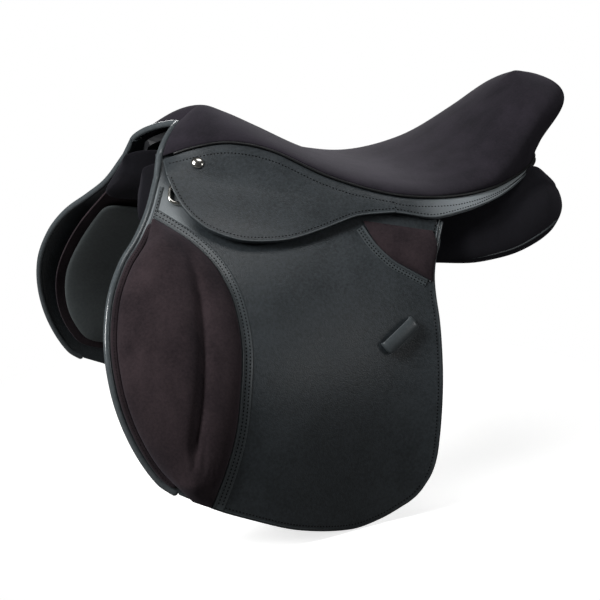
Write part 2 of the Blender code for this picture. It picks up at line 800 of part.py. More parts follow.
def build_flap(label, side):
    front = inset(FLAP_FRONT, PIPING_RADIUS + PIPING_GAP)
    front[0] = under_fold(front[0].x + 2 * PIPING_GAP, FOLD_GAP)
    front[1].x += PIPING_GAP
    bottom = [front[-1]] + [Vector(p) for p in FLAP_BOTTOM[1:]]
    rear = [under_fold(FOLD_REAR.x, FOLD_GAP)] + [Vector(p) for p in FLAP_REAR[1:]]
    top = [front[0], (front[0] + rear[0]) / 2, rear[0]]
    shape = leaf_shape(top, rear, bottom, front)
    flap = finish(leaf(16, 14, shape, 0.0, FLAP_THICK, side), f"flap_{label}", *GRAIN)
    hang(flap, lift_line(side))

    path = Course([under_fold(FLAP_FRONT[0][0], PIPING_RADIUS + FOLD_GAP)]
                  + [Vector(p) for p in FLAP_FRONT[1:]])
    points = [on_side(*path(i / 24), FLAP_THICK / 2) for i in range(25)]
    piping = tube(f"flap_piping_{label}", mirrored(points, side), PIPING_RADIUS, *PIPE)
    hang(piping, lift_line(side))

    # The thin piping lies behind the rear edge, from the fold to the foot of the thigh pad
    path = Course([Vector(p) for p in inset(FLAP_REAR[:4], THIN_PIPING_RADIUS + LAYER_GAP)])
    points = [on_side(*path(lerp(THIGH_PIPING_TOP_SHARE, 1.0, i / 7)), FLAP_THICK / 2) for i in range(8)]
    piping = tube(f"thigh_piping_{label}", mirrored(points, side), THIN_PIPING_RADIUS, *PIPE)
    hang(piping, lift_line(side))


def build_flap_root(label, side):
    first, last = ROOT_FRONT_X, FOLD_REAR.x

    def place(u, v):
        x = lerp(first, last, u)
        foot, shelf = fold_z(x) + FOLD_GAP, fold_z(x) + NOTCH_RISE
        if v >= 0.5:
            return Vector((x, lerp(shelf, foot, 2 * v - 1)))
        return Vector((x, lerp(edge_at(x).z - ROOT_TOP_DROP, shelf, 2 * v)))

    def face(level):
        def at(u, v):
            where = place(u, v)
            return on_side(where.x, where.y, level)
        return at

    def notch(u, v):
        return v < 0.5 and NOTCH[0] < lerp(first, last, u) < NOTCH[1]

    root = sheet(22, 2, face(FLAP_THICK), face(0.0), side, hole=notch)
    finish(root, f"flap_root_{label}", *GRAIN)


def build_knee_pad(label, side):
    front = inset(FLAP_FRONT, KNEE_INSET)[1:]
    front[0] = Vector(KNEE_TOP)
    front[-1] = Vector(KNEE_TOE)
    rear = [Vector(p) for p in KNEE_REAR]
    shape = leaf_shape([front[0], rear[0]], rear, [front[-1], rear[-1]], front)

    def crown(u, v):
        across = max(1.0 - (2 * u - 1) ** 2, 0.0) ** 0.6
        down = min(1.0, 4.5 * v, 7.0 * (1 - v)) if 0 < v < 1 else 0.0
        down = ease(down)
        groove = math.exp(-((u - GROOVE_SHARE) / GROOVE_WIDTH) ** 2) * ease(v * 6) * ease((1 - v) * 8)
        return FLAP_THICK + PAD_GAP + KNEE_EDGE + KNEE_CROWN * across * down - KNEE_GROOVE * groove

    pad = leaf(11, 15, shape, FLAP_THICK + PAD_GAP, crown, side)
    hang(finish(pad, f"knee_pad_{label}", *SUEDE), lift_line(side))


def build_thigh_pad(label, side):
    top = along_fold(*THIGH_TOP, THIGH_DROP)
    rear = [top[-1]] + [Vector(p) for p in THIGH_REAR]
    front = [top[0]] + [Vector(p) for p in THIGH_FRONT[1:]]
    shape = leaf_shape(top, rear, [front[-1], rear[-1]], front)

    def crown(u, v):
        across = max(1.0 - (2 * u - 1) ** 2, 0.0) ** 0.7
        down = max(1.0 - (2 * v - 1) ** 2, 0.0) ** 0.7
        return FLAP_THICK + LAYER_GAP + THIGH_EDGE + THIGH_CROWN * across * down

    pad = leaf(7, 6, shape, FLAP_THICK + LAYER_GAP, crown, side)
    hang(finish(pad, f"thigh_pad_{label}", *SUEDE), lift_line(side))


def skirt_foot(x, level):
    """Lower edge of the fixed part of the skirt, on its outer or inner face."""
    if x <= TAIL_FROM:
        return on_side(x, fold_z(x) + FOLD_GAP, level)
    rim = edge_at(x)
    z = rim.z - graph(TAIL_DEPTH, x)
    from_face = SKIRT_OUT - level
    free = Vector((x, rim.y + graph(TAIL_OUT, x) - from_face * 0.9, z + from_face * 0.4))
    fixed = on_side(min(x, FOLD_REAR.x), z, level)
    return fixed.lerp(free, ease((x - TAIL_FROM) / (FOLD_REAR.x - TAIL_FROM)))


def skirt_at(x, v, level):
    rim = edge_at(x)
    top = Vector((x, rim.y - (SKIRT_OUT - level), rim.z - SKIRT_TOP_DROP))
    return top.lerp(skirt_foot(x, level), v)


def build_skirt(label, side):
    shelf = 21
    tail = 12

    def along(u):
        place = u * (shelf + tail)
        if place <= shelf:
            return lerp(SKIRT_FRONT_X, TAIL_FROM, place / shelf)
        return lerp(TAIL_FROM + TAIL_STEP, TAIL_TO, (place - shelf - 1) / (tail - 1))

    skirt = sheet(shelf + tail, 2, lambda u, v: skirt_at(along(u), v, SKIRT_OUT),
                  lambda u, v: skirt_at(along(u), v, SKIRT_IN), side)
    finish(skirt, f"skirt_{label}", *GRAIN)

    rear_x = SKIRT_BOTTOM[-1][0]
    front = [under_fold(SKIRT_FRONT_X, FOLD_GAP)] + [Vector(p) for p in SKIRT_FRONT[1:]]
    top = along_fold(front[0].x, rear_x, FOLD_GAP)
    rear = [top[-1], Vector(SKIRT_BOTTOM[-1])]
    shape = leaf_shape(top, rear, SKIRT_BOTTOM, front)
    lobe = finish(leaf(18, 5, shape, SKIRT_IN, SKIRT_OUT, side), f"skirt_lobe_{label}", *GRAIN)
    hang(lobe, lift_line(side))


def build_nail(label, side):
    x, z = NAIL_PLACE
    top, foot = skirt_at(x, 0.0, SKIRT_OUT), skirt_at(x, 1.0, SKIRT_OUT)
    centre = top.lerp(foot, (top.z - z) / (top.z - foot.z))
    run = (skirt_at(x + 0.002, 0.5, SKIRT_OUT) - skirt_at(x - 0.002, 0.5, SKIRT_OUT)).normalized()
    down = (foot - top).normalized()
    out = run.cross(down)
    if out.y < 0.0:
        out = -out
    around = 16
    rings = (
        (NAIL_RADIUS, NAIL_SEAT), (NAIL_RADIUS, NAIL_SEAT + NAIL_RIM),
        (NAIL_RADIUS * 0.80, NAIL_HEIGHT * 0.70), (NAIL_RADIUS * 0.42, NAIL_HEIGHT * 0.95),
    )
    points = []
    for radius, height in rings:
        for i in range(around):
            turn = 2 * math.pi * i / around
            points.append(centre + run * radius * math.cos(turn) + down * radius * math.sin(turn)
                          + out * height)
    points.append(centre + out * NAIL_HEIGHT)
    faces = [tuple(range(around))]
    for level in range(len(rings) - 1):
        for i in range(around):
            j = (i + 1) % around
            base = level * around
            faces.append((base + i, base + j, base + around + j, base + around + i))
    base = (len(rings) - 1) * around
    faces += [(base + i, base + (i + 1) % around, len(points) - 1) for i in range(around)]
    solid((points, faces), f"saddle_nail_{label}", NICKEL, side)


def build_stirrup_bar(label, side):
    place = Place(BAR_X, fold_z(BAR_X) + BAR_RISE, RAIL_OUT + GAP)
    plate = BAR_PLATE_THICK
    near_face = plate + BAR_SLOT
    far_face = near_face + BAR_FINGER_THICK
    half = BAR_LENGTH / 2
    finger_end = half - CATCH_LENGTH - GAP
    profile = (
        (half, 0.0), (half, plate), (-half + BAR_BEND + 0.002, plate), (-half + BAR_BEND, plate + 0.001),
        (-half + BAR_BEND, near_face - 0.001), (-half + BAR_BEND + 0.002, near_face),
        (finger_end, near_face), (finger_end, far_face), (-half + 0.003, far_face),
        (-half, far_face - 0.003), (-half, 0.0),
    )
    deep = BAR_HEIGHT / 2
    solid(bar_of(profile, place, -deep, deep), f"stirrup_bar_{label}", STEEL, side)
    start = finger_end + GAP
    end = start + CATCH_LENGTH
    radius = deep * CATCH_SHARE
    hub = start + radius
    turns = [math.pi * (0.5 + i / 8) for i in range(9)]
    profile = [(hub + radius * math.cos(t), radius * math.sin(t)) for t in turns]
    profile += [(end - CATCH_NOSE, -radius), (end, -radius + CATCH_NOSE / 2),
                (end, radius - CATCH_NOSE / 2), (end - CATCH_NOSE, radius)]
    catch = solid(bar_of(profile, place, near_face, far_face, flat=True),
                  f"stirrup_catch_{label}", STEEL, side)
    pivot = place(hub, 0.0, (near_face + far_face) / 2)
    hang(catch, Vector((pivot.x, pivot.y * side, pivot.z)))


def build_dee(label, side):
    inner_skin = FLAP_THICK + GAP
    centre = inner_skin + CHAPE_THICK + DEE_PLAY + DEE_WIRE
    place = Place(DEE_X, fold_z(DEE_X) - DEE_DROP, centre)
    half, depth = DEE_WIDTH / 2, DEE_DEPTH
    points = [place(a, 0.0) for a in (-half + 0.004, -0.004, 0.004, half - 0.004)]
    rim = ((half - 0.001, -0.001), (half, -0.004), (half, -depth * 0.62), (half * 0.93, -depth * 0.84),
           (half * 0.72, -depth * 0.96), (half * 0.30, -depth))
    points += [place(a, w, -w * DEE_LEAN) for a, w in rim]
    points += [place(-a, w, -w * DEE_LEAN) for a, w in reversed(rim)]
    dee = tube(f"d_ring_{label}", mirrored(points, side), DEE_WIRE, *NICKEL, closed=True)
    pivot = place.origin
    hang(dee, Vector((pivot.x, pivot.y * side, pivot.z)))

    room = DEE_WIRE + DEE_PLAY
    wrap = room + CHAPE_THICK
    turns = [math.pi * i / 6 for i in range(7)]
    outer = [(DEE_DROP - CHAPE_SHORT, -wrap)] + [(-wrap * math.sin(t), -wrap * math.cos(t)) for t in turns]
    outer += [(DEE_DROP - CHAPE_SHORT, wrap)]
    inner = [(CHAPE_TOP - 0.001, -room)] + [(-room * math.sin(t), -room * math.cos(t)) for t in turns]
    inner += [(CHAPE_TOP - 0.001, room)]
    chape = solid(loop_of(outer, inner, place, -CHAPE_WIDTH / 2, CHAPE_WIDTH / 2),
                  f"d_ring_chape_{label}", GRAIN, side)
    hang(chape, lift_line(side))


def build_keeper(label, side):
    place = Place(*KEEPER_CENTRE, FLAP_THICK + PAD_GAP, lean=-KEEPER_LEAN)
    half, room = KEEPER_LENGTH / 2, KEEPER_ROOM
    inner = half - KEEPER_END
    profile = (
        (-half, 0.0), (-inner, 0.0), (-inner + 0.003, room), (inner - 0.003, room), (inner, 0.0),
        (half, 0.0), (half, KEEPER_THICK), (inner + 0.001, KEEPER_THICK),
        (inner - 0.002, room + KEEPER_THICK), (-inner + 0.002, room + KEEPER_THICK),
        (-inner - 0.001, KEEPER_THICK), (-half, KEEPER_THICK),
    )
    deep = KEEPER_WIDTH / 2
    keeper = solid(bar_of(profile, place, -deep, deep), f"flap_keeper_{label}", GRAIN, side)
    hang(keeper, lift_line(side))


def build_sweat_flap(label, side):
    top = along_fold(SWEAT_FRONT[0][0], SWEAT_REAR[0][0], SWEAT_DROP)
    front = [top[0]] + [Vector(p) for p in SWEAT_FRONT[1:]]
    rear = [top[-1]] + [Vector(p) for p in SWEAT_REAR[1:]]
    shape = leaf_shape(top, rear, SWEAT_BOTTOM, front)
    finish(leaf(12, 11, shape, SWEAT_OUT - SWEAT_THICK, SWEAT_OUT, side), f"sweat_flap_{label}", *BLACK)


def build_panel_lower(label, side):
    top = along_fold(-0.243, 0.028, LEAF_DROP)
    front = inset(SWEAT_FRONT, LEAF_INSET)
    front[0] = top[0]
    rear = inset(SWEAT_REAR, -LEAF_INSET)
    rear = [top[-1]] + rear[3:]
    bottom = [front[-1]] + inset(SWEAT_BOTTOM, LEAF_INSET)[1:-1] + [rear[-1]]
    front = [front[0]] + front[2:]
    shape = leaf_shape(top, rear, bottom, front)

    def depth(u, v):
        across = max(1.0 - abs(2 * u - 1) ** 3.0, 0.0) ** 0.7
        down = max(1.0 - v ** 6, 0.0) ** 0.7
        return PANEL_OUT - LEAF_EDGE - (LEAF_THICK - LEAF_EDGE) * across * down

    finish(leaf(11, 10, shape, depth, PANEL_OUT, side), f"panel_lower_{label}", *SUEDE)


def panel_corners(x):
    """Inner foot, outer foot, outer top and inner top of the cushion's section, as (half, z)."""
    foot_z = graph(PANEL_INNER_Z, x)
    if x <= FOLD_REAR.x:
        upper = on_side(x, fold_z(x) + PANEL_TOP_RISE, PANEL_OUT)
        lower = on_side(x, fold_z(x) - PANEL_FOOT_DROP, PANEL_OUT)
        upper, lower = (upper.y, upper.z), (lower.y, lower.z)
    else:
        upper = (graph([(row[0], row[1]) for row in PANEL_REAR], x),
                 graph([(row[0], row[2]) for row in PANEL_REAR], x))
        lower = (graph([(row[0], row[3]) for row in PANEL_REAR], x),
                 graph([(row[0], row[4]) for row in PANEL_REAR], x))
    under_lining = under_tree(x) - 0.006
    top_z = min(under_lining, foot_z + PANEL_DEPTH_MIDDLE, upper[1] + lerp(0.010, 0.0, ease(x / 0.150)))
    return (CHANNEL_HALF, foot_z), lower, upper, (CHANNEL_HALF + 0.003, top_z)


def under_tree(x):
    """Height of the under side of the gullet lining beside the channel."""
    share = share_over(lambda u: tree_top(u, CHANNEL_SHARE), x)
    return tree_top(share, CHANNEL_SHARE).z - TREE_THICK - PLATE_THICK - LINING_THICK - 3 * LAYER_GAP


def panel_at(x, a, b):
    """Point of the cushion: a from -1 inside to 1 outside, b from -1 below to 1 above."""
    inner_foot, outer_foot, outer_top, inner_top = (Vector(c) for c in panel_corners(x))
    p, q = (1 + a) / 2, (1 + b) / 2
    spot = (
        inner_foot * (1 - p) * (1 - q) + outer_foot * p * (1 - q)
        + outer_top * p * q + inner_top * (1 - p) * q
    )
    swell = PANEL_BULGE * max(a, 0.0) * (1 - b * b) * ease((x - FOLD_REAR.x) / 0.050)
    if x <= FOLD_REAR.x:
        spot.x = min(spot.x, half_width(x, spot.y) + PANEL_OUT / side_normal(x, spot.y).y)
    nose = 1.0 - ease((x - PANEL_FRONT_X) / NOSE_LENGTH)
    shift = -NOSE_SLOPE * max(NOSE_TOP - spot.y, 0.0) * nose
    return Vector((x + shift, spot.x + swell, spot.y))


def rounded(turn, power=4.5):
    c, s = math.cos(turn), math.sin(turn)
    return (math.copysign(abs(c) ** (2 / power), c), math.copysign(abs(s) ** (2 / power), s))


def build_panel(label, side):
    around = 18
    length = PANEL_REAR_X - PANEL_FRONT_X
    steps = 13
    first, last = PANEL_NOSE[-1][0], PANEL_HEEL[0][0]
    marks = list(PANEL_NOSE)
    marks += [(lerp(first, last, i / steps), 1.0) for i in range(1, steps)]
    marks += PANEL_HEEL
    points = []
    for share, size in marks:
        x = PANEL_FRONT_X + length * share
        for i in range(around):
            a, b = rounded(2 * math.pi * (i + 0.5) / around)
            points.append(panel_at(x, a * size, b * size))
    faces = [tuple(range(around)), tuple(range(len(points) - around, len(points)))]
    for level in range(len(marks) - 1):
        for i in range(around):
            j = (i + 1) % around
            base = level * around
            faces.append((base + i, base + j, base + around + j, base + around + i))
    solid((points, faces), f"panel_{label}", SUEDE, side)

    points = []
    for i in range(11):
        x = lerp(*PANEL_PIPING_X, i / 10)
        a, b = rounded(-math.pi / 4)
        corner = panel_at(x, a, b)
        across = (corner - panel_at(x, 0.0, 0.0))
        across.x = 0.0
        points.append(corner + across.normalized() * (THIN_PIPING_RADIUS + 2 * LAYER_GAP))
    tube(f"panel_piping_{label}", mirrored(points, side), THIN_PIPING_RADIUS, *PIPE)


def build_girth_gear(label, side):
    for name, x in zip(("front", "rear"), STRAP_X):
        first, last = x - WEB_WIDTH / 2, x + WEB_WIDTH / 2
        top = along_fold(first, last, -WEB_RISE)
        bottom = along_fold(first, last, WEB_END_DROP)
        shape = leaf_shape(top, [top[-1], bottom[-1]], bottom, [top[0], bottom[0]])
        finish(leaf(2, 5, shape, WEB_OUT - WEB_THICK, WEB_OUT, side), f"girth_web_{name}_{label}", *WEB)

        first, last = x - STRAP_WIDTH / 2, x + STRAP_WIDTH / 2
        top = [under_fold(x, STRAP_TOP_DROP) + Vector((d, 0.0)) for d in (first - x, 0.0, last - x)]
        bottom = [(first, STRAP_END_Z + STRAP_POINT), (x, STRAP_END_Z), (last, STRAP_END_Z + STRAP_POINT)]
        shape = leaf_shape(top, [top[-1], Vector(bottom[-1])], bottom, [top[0], Vector(bottom[0])])
        strap = finish(leaf(2, 16, shape, STRAP_OUT - STRAP_THICK, STRAP_OUT, side),
                       f"girth_strap_{name}_{label}", *GRAIN)
        pivot = on_side(*under_fold(x, STRAP_TOP_DROP), STRAP_OUT)
        hang(strap, Vector((pivot.x, pivot.y * side, pivot.z)))
    top = [Vector((GUARD_FRONT, GUARD_TOP)), Vector((GUARD_REAR, GUARD_TOP))]
    bottom = [Vector((GUARD_FRONT, GUARD_BOTTOM)), Vector((GUARD_REAR, GUARD_BOTTOM))]
    shape = leaf_shape(top, [top[1], bottom[1]], bottom, [top[0], bottom[0]])
    guard = leaf(8, 5, shape, GUARD_OUT - GUARD_THICK, GUARD_OUT, side)
    guard = finish(guard, f"buckle_guard_{label}", *GRAIN)
    pivot = on_side(*under_fold(STRAP_X[0], STRAP_TOP_DROP), STRAP_OUT)
    hang(guard, Vector((pivot.x, pivot.y * side, pivot.z)))


def build_edges():
    """Piping round the arch, the welt of the seat and the binding under the cantle."""
    points = []
    steps = 18
    for i in range(steps + 1):
        t = lerp(-1.0, 1.0, i / steps)
        rim = seat_top(0.0, t)
        ahead = (rim - seat_top(0.03, t)).normalized()
        inward = shell_normal(seat_top, 0.0, t)
        points.append(rim - inward * COVER_THICK / 2 + ahead * (PIPING_RADIUS + PIPING_GAP))
    foot = on_side(FLAP_FRONT[0][0], FOLD_FRONT.z + PIPING_RADIUS + 2 * FOLD_GAP, FLAP_THICK / 2)
    points = [Vector((foot.x, -foot.y, foot.z))] + points + [foot]
    tube("pommel_piping", points, PIPING_RADIUS, *PIPE)

    def round_back(first, steps, move):
        half = [move(lerp(first, 1.0, i / steps)) for i in range(steps + 1)]
        near = [Vector((p.x, -p.y, p.z)) for p in half]
        return near + list(reversed(half[:-1]))

    def welt(u):
        rim = edge(u)
        return Vector((rim.x, max(rim.y, 0.0), rim.z - WELT_RADIUS - GAP))

    tube("seat_welt", round_back(1 / SHELL_COLUMNS, SHELL_COLUMNS - 1, welt), WELT_RADIUS, *BLACK, ring=0)

    def binding(u):
        rim = edge(u)
        back = ease((u - 0.85) / 0.15)
        inset_by = BINDING_RADIUS
        return Vector((rim.x - inset_by * back, max(rim.y - inset_by * (1 - back), 0.0),
                       rim.z - 2 * WELT_RADIUS - BINDING_RADIUS))

    start = share_over(edge, TAIL_TO + BINDING_RADIUS / 2)
    tube("cantle_binding", round_back(start, 8, binding), BINDING_RADIUS, *BLACK)


def build():
    clear_scene()
    build_seat()
    build_tree()
    build_edges()
    for label, side in SIDES:
        build_flap(label, side)
        build_flap_root(label, side)
        build_knee_pad(label, side)
        build_thigh_pad(label, side)
        build_skirt(label, side)
        build_nail(label, side)
        build_stirrup_bar(label, side)
        build_dee(label, side)
        build_keeper(label, side)
        build_sweat_flap(label, side)
        build_panel_lower(label, side)
        build_panel(label, side)
        build_girth_gear(label, side)


build()
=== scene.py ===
"""Looks of an all-purpose horse saddle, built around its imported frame.

Units are metres. +Z is up, -X is the front (pommel), +X the rear (cantle), and the near
side, which faces the camera, is -Y. Pieces of the side are modelled on the off side's
positive half-width and turned over for the near side, so both come from one set of sizes.
"""

from __future__ import annotations

import json
import logging
import math
from collections.abc import Callable, Iterator, Sequence
from contextlib import contextmanager
from dataclasses import dataclass, replace
from enum import Enum

import bmesh
import bpy
import numpy as np
from mathutils import Matrix, Vector
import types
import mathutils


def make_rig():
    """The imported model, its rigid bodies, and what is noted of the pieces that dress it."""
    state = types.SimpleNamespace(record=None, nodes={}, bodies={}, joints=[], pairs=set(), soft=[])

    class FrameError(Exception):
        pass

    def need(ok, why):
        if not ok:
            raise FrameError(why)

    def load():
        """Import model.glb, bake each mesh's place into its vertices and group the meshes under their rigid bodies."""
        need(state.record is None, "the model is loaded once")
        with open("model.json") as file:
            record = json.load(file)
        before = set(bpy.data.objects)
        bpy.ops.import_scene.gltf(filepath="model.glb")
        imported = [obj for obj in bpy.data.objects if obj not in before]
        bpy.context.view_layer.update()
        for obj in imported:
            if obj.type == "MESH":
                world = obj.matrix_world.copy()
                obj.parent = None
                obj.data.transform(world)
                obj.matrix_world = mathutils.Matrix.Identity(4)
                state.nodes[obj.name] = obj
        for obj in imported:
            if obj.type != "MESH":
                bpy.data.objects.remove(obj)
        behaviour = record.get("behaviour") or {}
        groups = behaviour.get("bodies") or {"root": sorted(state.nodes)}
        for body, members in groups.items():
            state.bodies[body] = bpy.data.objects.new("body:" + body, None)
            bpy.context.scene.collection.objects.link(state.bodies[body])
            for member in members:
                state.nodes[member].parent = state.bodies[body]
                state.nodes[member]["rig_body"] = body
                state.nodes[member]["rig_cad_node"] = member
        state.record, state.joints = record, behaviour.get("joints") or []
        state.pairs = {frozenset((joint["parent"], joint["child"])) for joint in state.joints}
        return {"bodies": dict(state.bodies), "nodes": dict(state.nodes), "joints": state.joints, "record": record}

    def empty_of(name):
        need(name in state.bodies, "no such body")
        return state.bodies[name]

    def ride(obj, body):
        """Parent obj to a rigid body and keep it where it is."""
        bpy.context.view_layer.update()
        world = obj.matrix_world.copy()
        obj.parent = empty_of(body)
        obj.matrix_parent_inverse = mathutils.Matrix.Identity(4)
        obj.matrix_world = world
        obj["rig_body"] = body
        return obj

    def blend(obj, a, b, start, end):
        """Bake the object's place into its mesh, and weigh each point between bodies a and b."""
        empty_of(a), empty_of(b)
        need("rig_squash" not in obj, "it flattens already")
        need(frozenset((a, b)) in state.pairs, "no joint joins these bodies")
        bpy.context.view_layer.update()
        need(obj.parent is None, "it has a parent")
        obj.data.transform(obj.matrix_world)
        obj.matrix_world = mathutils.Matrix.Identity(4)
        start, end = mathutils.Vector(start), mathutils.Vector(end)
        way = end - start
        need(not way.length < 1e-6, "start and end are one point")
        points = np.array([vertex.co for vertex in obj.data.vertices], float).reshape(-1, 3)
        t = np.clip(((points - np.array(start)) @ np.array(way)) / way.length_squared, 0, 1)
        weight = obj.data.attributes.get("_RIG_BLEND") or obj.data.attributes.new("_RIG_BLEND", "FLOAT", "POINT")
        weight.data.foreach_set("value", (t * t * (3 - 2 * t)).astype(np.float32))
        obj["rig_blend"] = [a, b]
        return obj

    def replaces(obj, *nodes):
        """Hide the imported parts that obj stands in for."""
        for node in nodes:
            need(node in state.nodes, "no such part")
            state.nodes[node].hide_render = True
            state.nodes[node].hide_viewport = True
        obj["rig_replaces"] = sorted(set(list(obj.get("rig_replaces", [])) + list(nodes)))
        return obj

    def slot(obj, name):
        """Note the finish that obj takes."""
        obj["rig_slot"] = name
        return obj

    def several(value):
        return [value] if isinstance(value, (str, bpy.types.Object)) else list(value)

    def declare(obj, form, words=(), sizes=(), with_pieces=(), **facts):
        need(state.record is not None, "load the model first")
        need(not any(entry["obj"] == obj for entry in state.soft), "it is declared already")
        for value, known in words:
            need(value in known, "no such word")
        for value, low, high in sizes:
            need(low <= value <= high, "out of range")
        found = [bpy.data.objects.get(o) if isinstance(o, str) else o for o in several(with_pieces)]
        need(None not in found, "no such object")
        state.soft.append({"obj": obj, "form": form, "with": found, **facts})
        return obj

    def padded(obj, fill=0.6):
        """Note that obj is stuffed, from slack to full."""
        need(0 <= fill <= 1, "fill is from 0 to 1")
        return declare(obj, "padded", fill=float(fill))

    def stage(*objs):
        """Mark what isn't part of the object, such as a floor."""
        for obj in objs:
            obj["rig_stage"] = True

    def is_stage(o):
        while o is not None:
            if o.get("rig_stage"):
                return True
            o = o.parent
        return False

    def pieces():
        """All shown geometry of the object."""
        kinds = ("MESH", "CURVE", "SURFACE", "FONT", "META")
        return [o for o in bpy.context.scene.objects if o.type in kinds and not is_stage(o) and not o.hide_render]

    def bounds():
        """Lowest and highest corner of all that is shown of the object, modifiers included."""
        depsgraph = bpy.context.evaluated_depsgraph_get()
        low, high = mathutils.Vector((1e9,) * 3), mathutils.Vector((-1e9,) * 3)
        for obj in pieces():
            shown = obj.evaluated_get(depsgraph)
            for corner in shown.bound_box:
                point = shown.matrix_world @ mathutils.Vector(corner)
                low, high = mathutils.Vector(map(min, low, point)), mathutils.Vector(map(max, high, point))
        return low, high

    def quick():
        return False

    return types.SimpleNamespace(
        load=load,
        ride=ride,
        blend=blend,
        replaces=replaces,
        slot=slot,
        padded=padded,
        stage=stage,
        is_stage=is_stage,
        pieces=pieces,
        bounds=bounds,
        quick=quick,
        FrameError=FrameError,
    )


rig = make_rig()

log = logging.getLogger("saddle")

Pair = tuple[float, float]
Place = Callable[[float, float], Vector]
Run = list[tuple[Vector, Vector]]
MM = 0.001


# Curves and small sums


def lerp(a: float | Vector, b: float | Vector, share: float) -> float | Vector:
    """Value at a share of the way from a to b."""
    return a + (b - a) * share


def ease(share: float) -> float:
    """Share from 0 to 1, level at both ends."""
    share = min(max(share, 0.0), 1.0)
    return share * share * (3.0 - 2.0 * share)


def hermite(a, b, da, db, s: float):
    """Point between a and b, which it leaves and meets with slopes da and db."""
    return (
        a * (2 * s**3 - 3 * s**2 + 1)
        + da * (s**3 - 2 * s**2 + s)
        + b * (3 * s**2 - 2 * s**3)
        + db * (s**3 - s**2)
    )


def graph(pairs: Sequence[Pair], at: float) -> float:
    """Smooth value at a place, from (place, value) pairs, and level beyond them.

    Args:
        pairs: places with their values, in rising order.
        at: the place.

    Returns:
        The value there.
    """
    if at <= pairs[0][0]:
        return pairs[0][1]
    if at >= pairs[-1][0]:
        return pairs[-1][1]
    index = 0
    while at > pairs[index + 1][0]:
        index += 1

    def slope(i: int) -> float:
        """Slope at a pair."""
        low, high = pairs[max(i - 1, 0)], pairs[min(i + 1, len(pairs) - 1)]
        return (high[1] - low[1]) / (high[0] - low[0])

    (x0, y0), (x1, y1) = pairs[index], pairs[index + 1]
    span = x1 - x0
    return hermite(y0, y1, slope(index) * span, slope(index + 1) * span, (at - x0) / span)


class Course:
    """A smooth open curve through points, read by the share of its length."""

    def __init__(self, points: Sequence[Sequence[float]]) -> None:
        """Measure the runs between the points.

        Args:
            points: the points of the curve, in order.
        """
        self.points = [Vector(point) for point in points]
        steps = [(b - a).length for a, b in zip(self.points, self.points[1:])]
        self.length = sum(steps)
        self.marks = [0.0]
        for step in steps:
            self.marks.append(self.marks[-1] + step / self.length)

    def slope(self, index: int) -> Vector:
        """Slope at one of the points."""
        low, high = max(index - 1, 0), min(index + 1, len(self.points) - 1)
        return (self.points[high] - self.points[low]) / (self.marks[high] - self.marks[low])

    def __call__(self, share: float) -> Vector:
        """Point at a share of the length.

        Args:
            share: from 0 at the first point to 1 at the last.

        Returns:
            The point.
        """
        share = min(max(share, 0.0), 1.0)
        index = 0
        while index < len(self.marks) - 2 and share > self.marks[index + 1]:
            index += 1
        span = self.marks[index + 1] - self.marks[index]
        s = (share - self.marks[index]) / span
        ends = self.slope(index) * span, self.slope(index + 1) * span
        return hermite(self.points[index], self.points[index + 1], *ends, s)

    def moved(self, distance: float, count: int = 60, share: Pair = (0.0, 1.0)) -> list[Vector]:
        """Points of the curve moved to its left in its own plane.

        Args:
            distance: how far to the left.
            count: number of points.
            share: the stretch of the curve that is wanted.

        Returns:
            The points.
        """
        result = []
        for i in range(count):
            at = lerp(share[0], share[1], i / (count - 1))
            run = (self(min(at + 0.004, 1.0)) - self(max(at - 0.004, 0.0))).normalized()
            result.append(self(at) + Vector((-run.y, run.x)) * distance)
        return result


class Stations:
    """A smooth curve through points that lie at even shares."""

    def __init__(self, points: Sequence[Sequence[float]]) -> None:
        """Keep the points."""
        self.points = [Vector(point) for point in points]

    def __call__(self, share: float) -> Vector:
        """Point at a share.

        Args:
            share: from 0 at the first point to 1 at the last.

        Returns:
            The point.
        """
        last = len(self.points) - 1
        place = min(max(share, 0.0), 1.0) * last
        index = min(int(place), last - 1)
        a, b = self.points[index], self.points[index + 1]
        before, after = self.points[max(index - 1, 0)], self.points[min(index + 2, last)]
        da = (b - before) * (0.5 if index > 0 else 1.0)
        db = (after - a) * (0.5 if index < last - 1 else 1.0)
        return hermite(a, b, da, db, place - index)


def leaf_shape(top, rear, bottom, front) -> Callable[[float, float], Vector]:
    """Surface between four curves: top and bottom run rearwards, front and rear run down.

    Args:
        top: points of the upper edge.
        rear: points of the rear edge.
        bottom: points of the lower edge.
        front: points of the front edge.

    Returns:
        A function of u and v from 0 to 1 that gives x and z.
    """
    top, rear, bottom, front = Course(top), Course(rear), Course(bottom), Course(front)

    def place(u: float, v: float) -> Vector:
        """Place at u along the leaf and v down it."""
        corners = (top(0) * (1 - u) * (1 - v) + top(1) * u * (1 - v)
                   + bottom(0) * (1 - u) * v + bottom(1) * u * v)
        return top(u) * (1 - v) + bottom(u) * v + front(v) * (1 - u) + rear(v) * u - corners

    return place


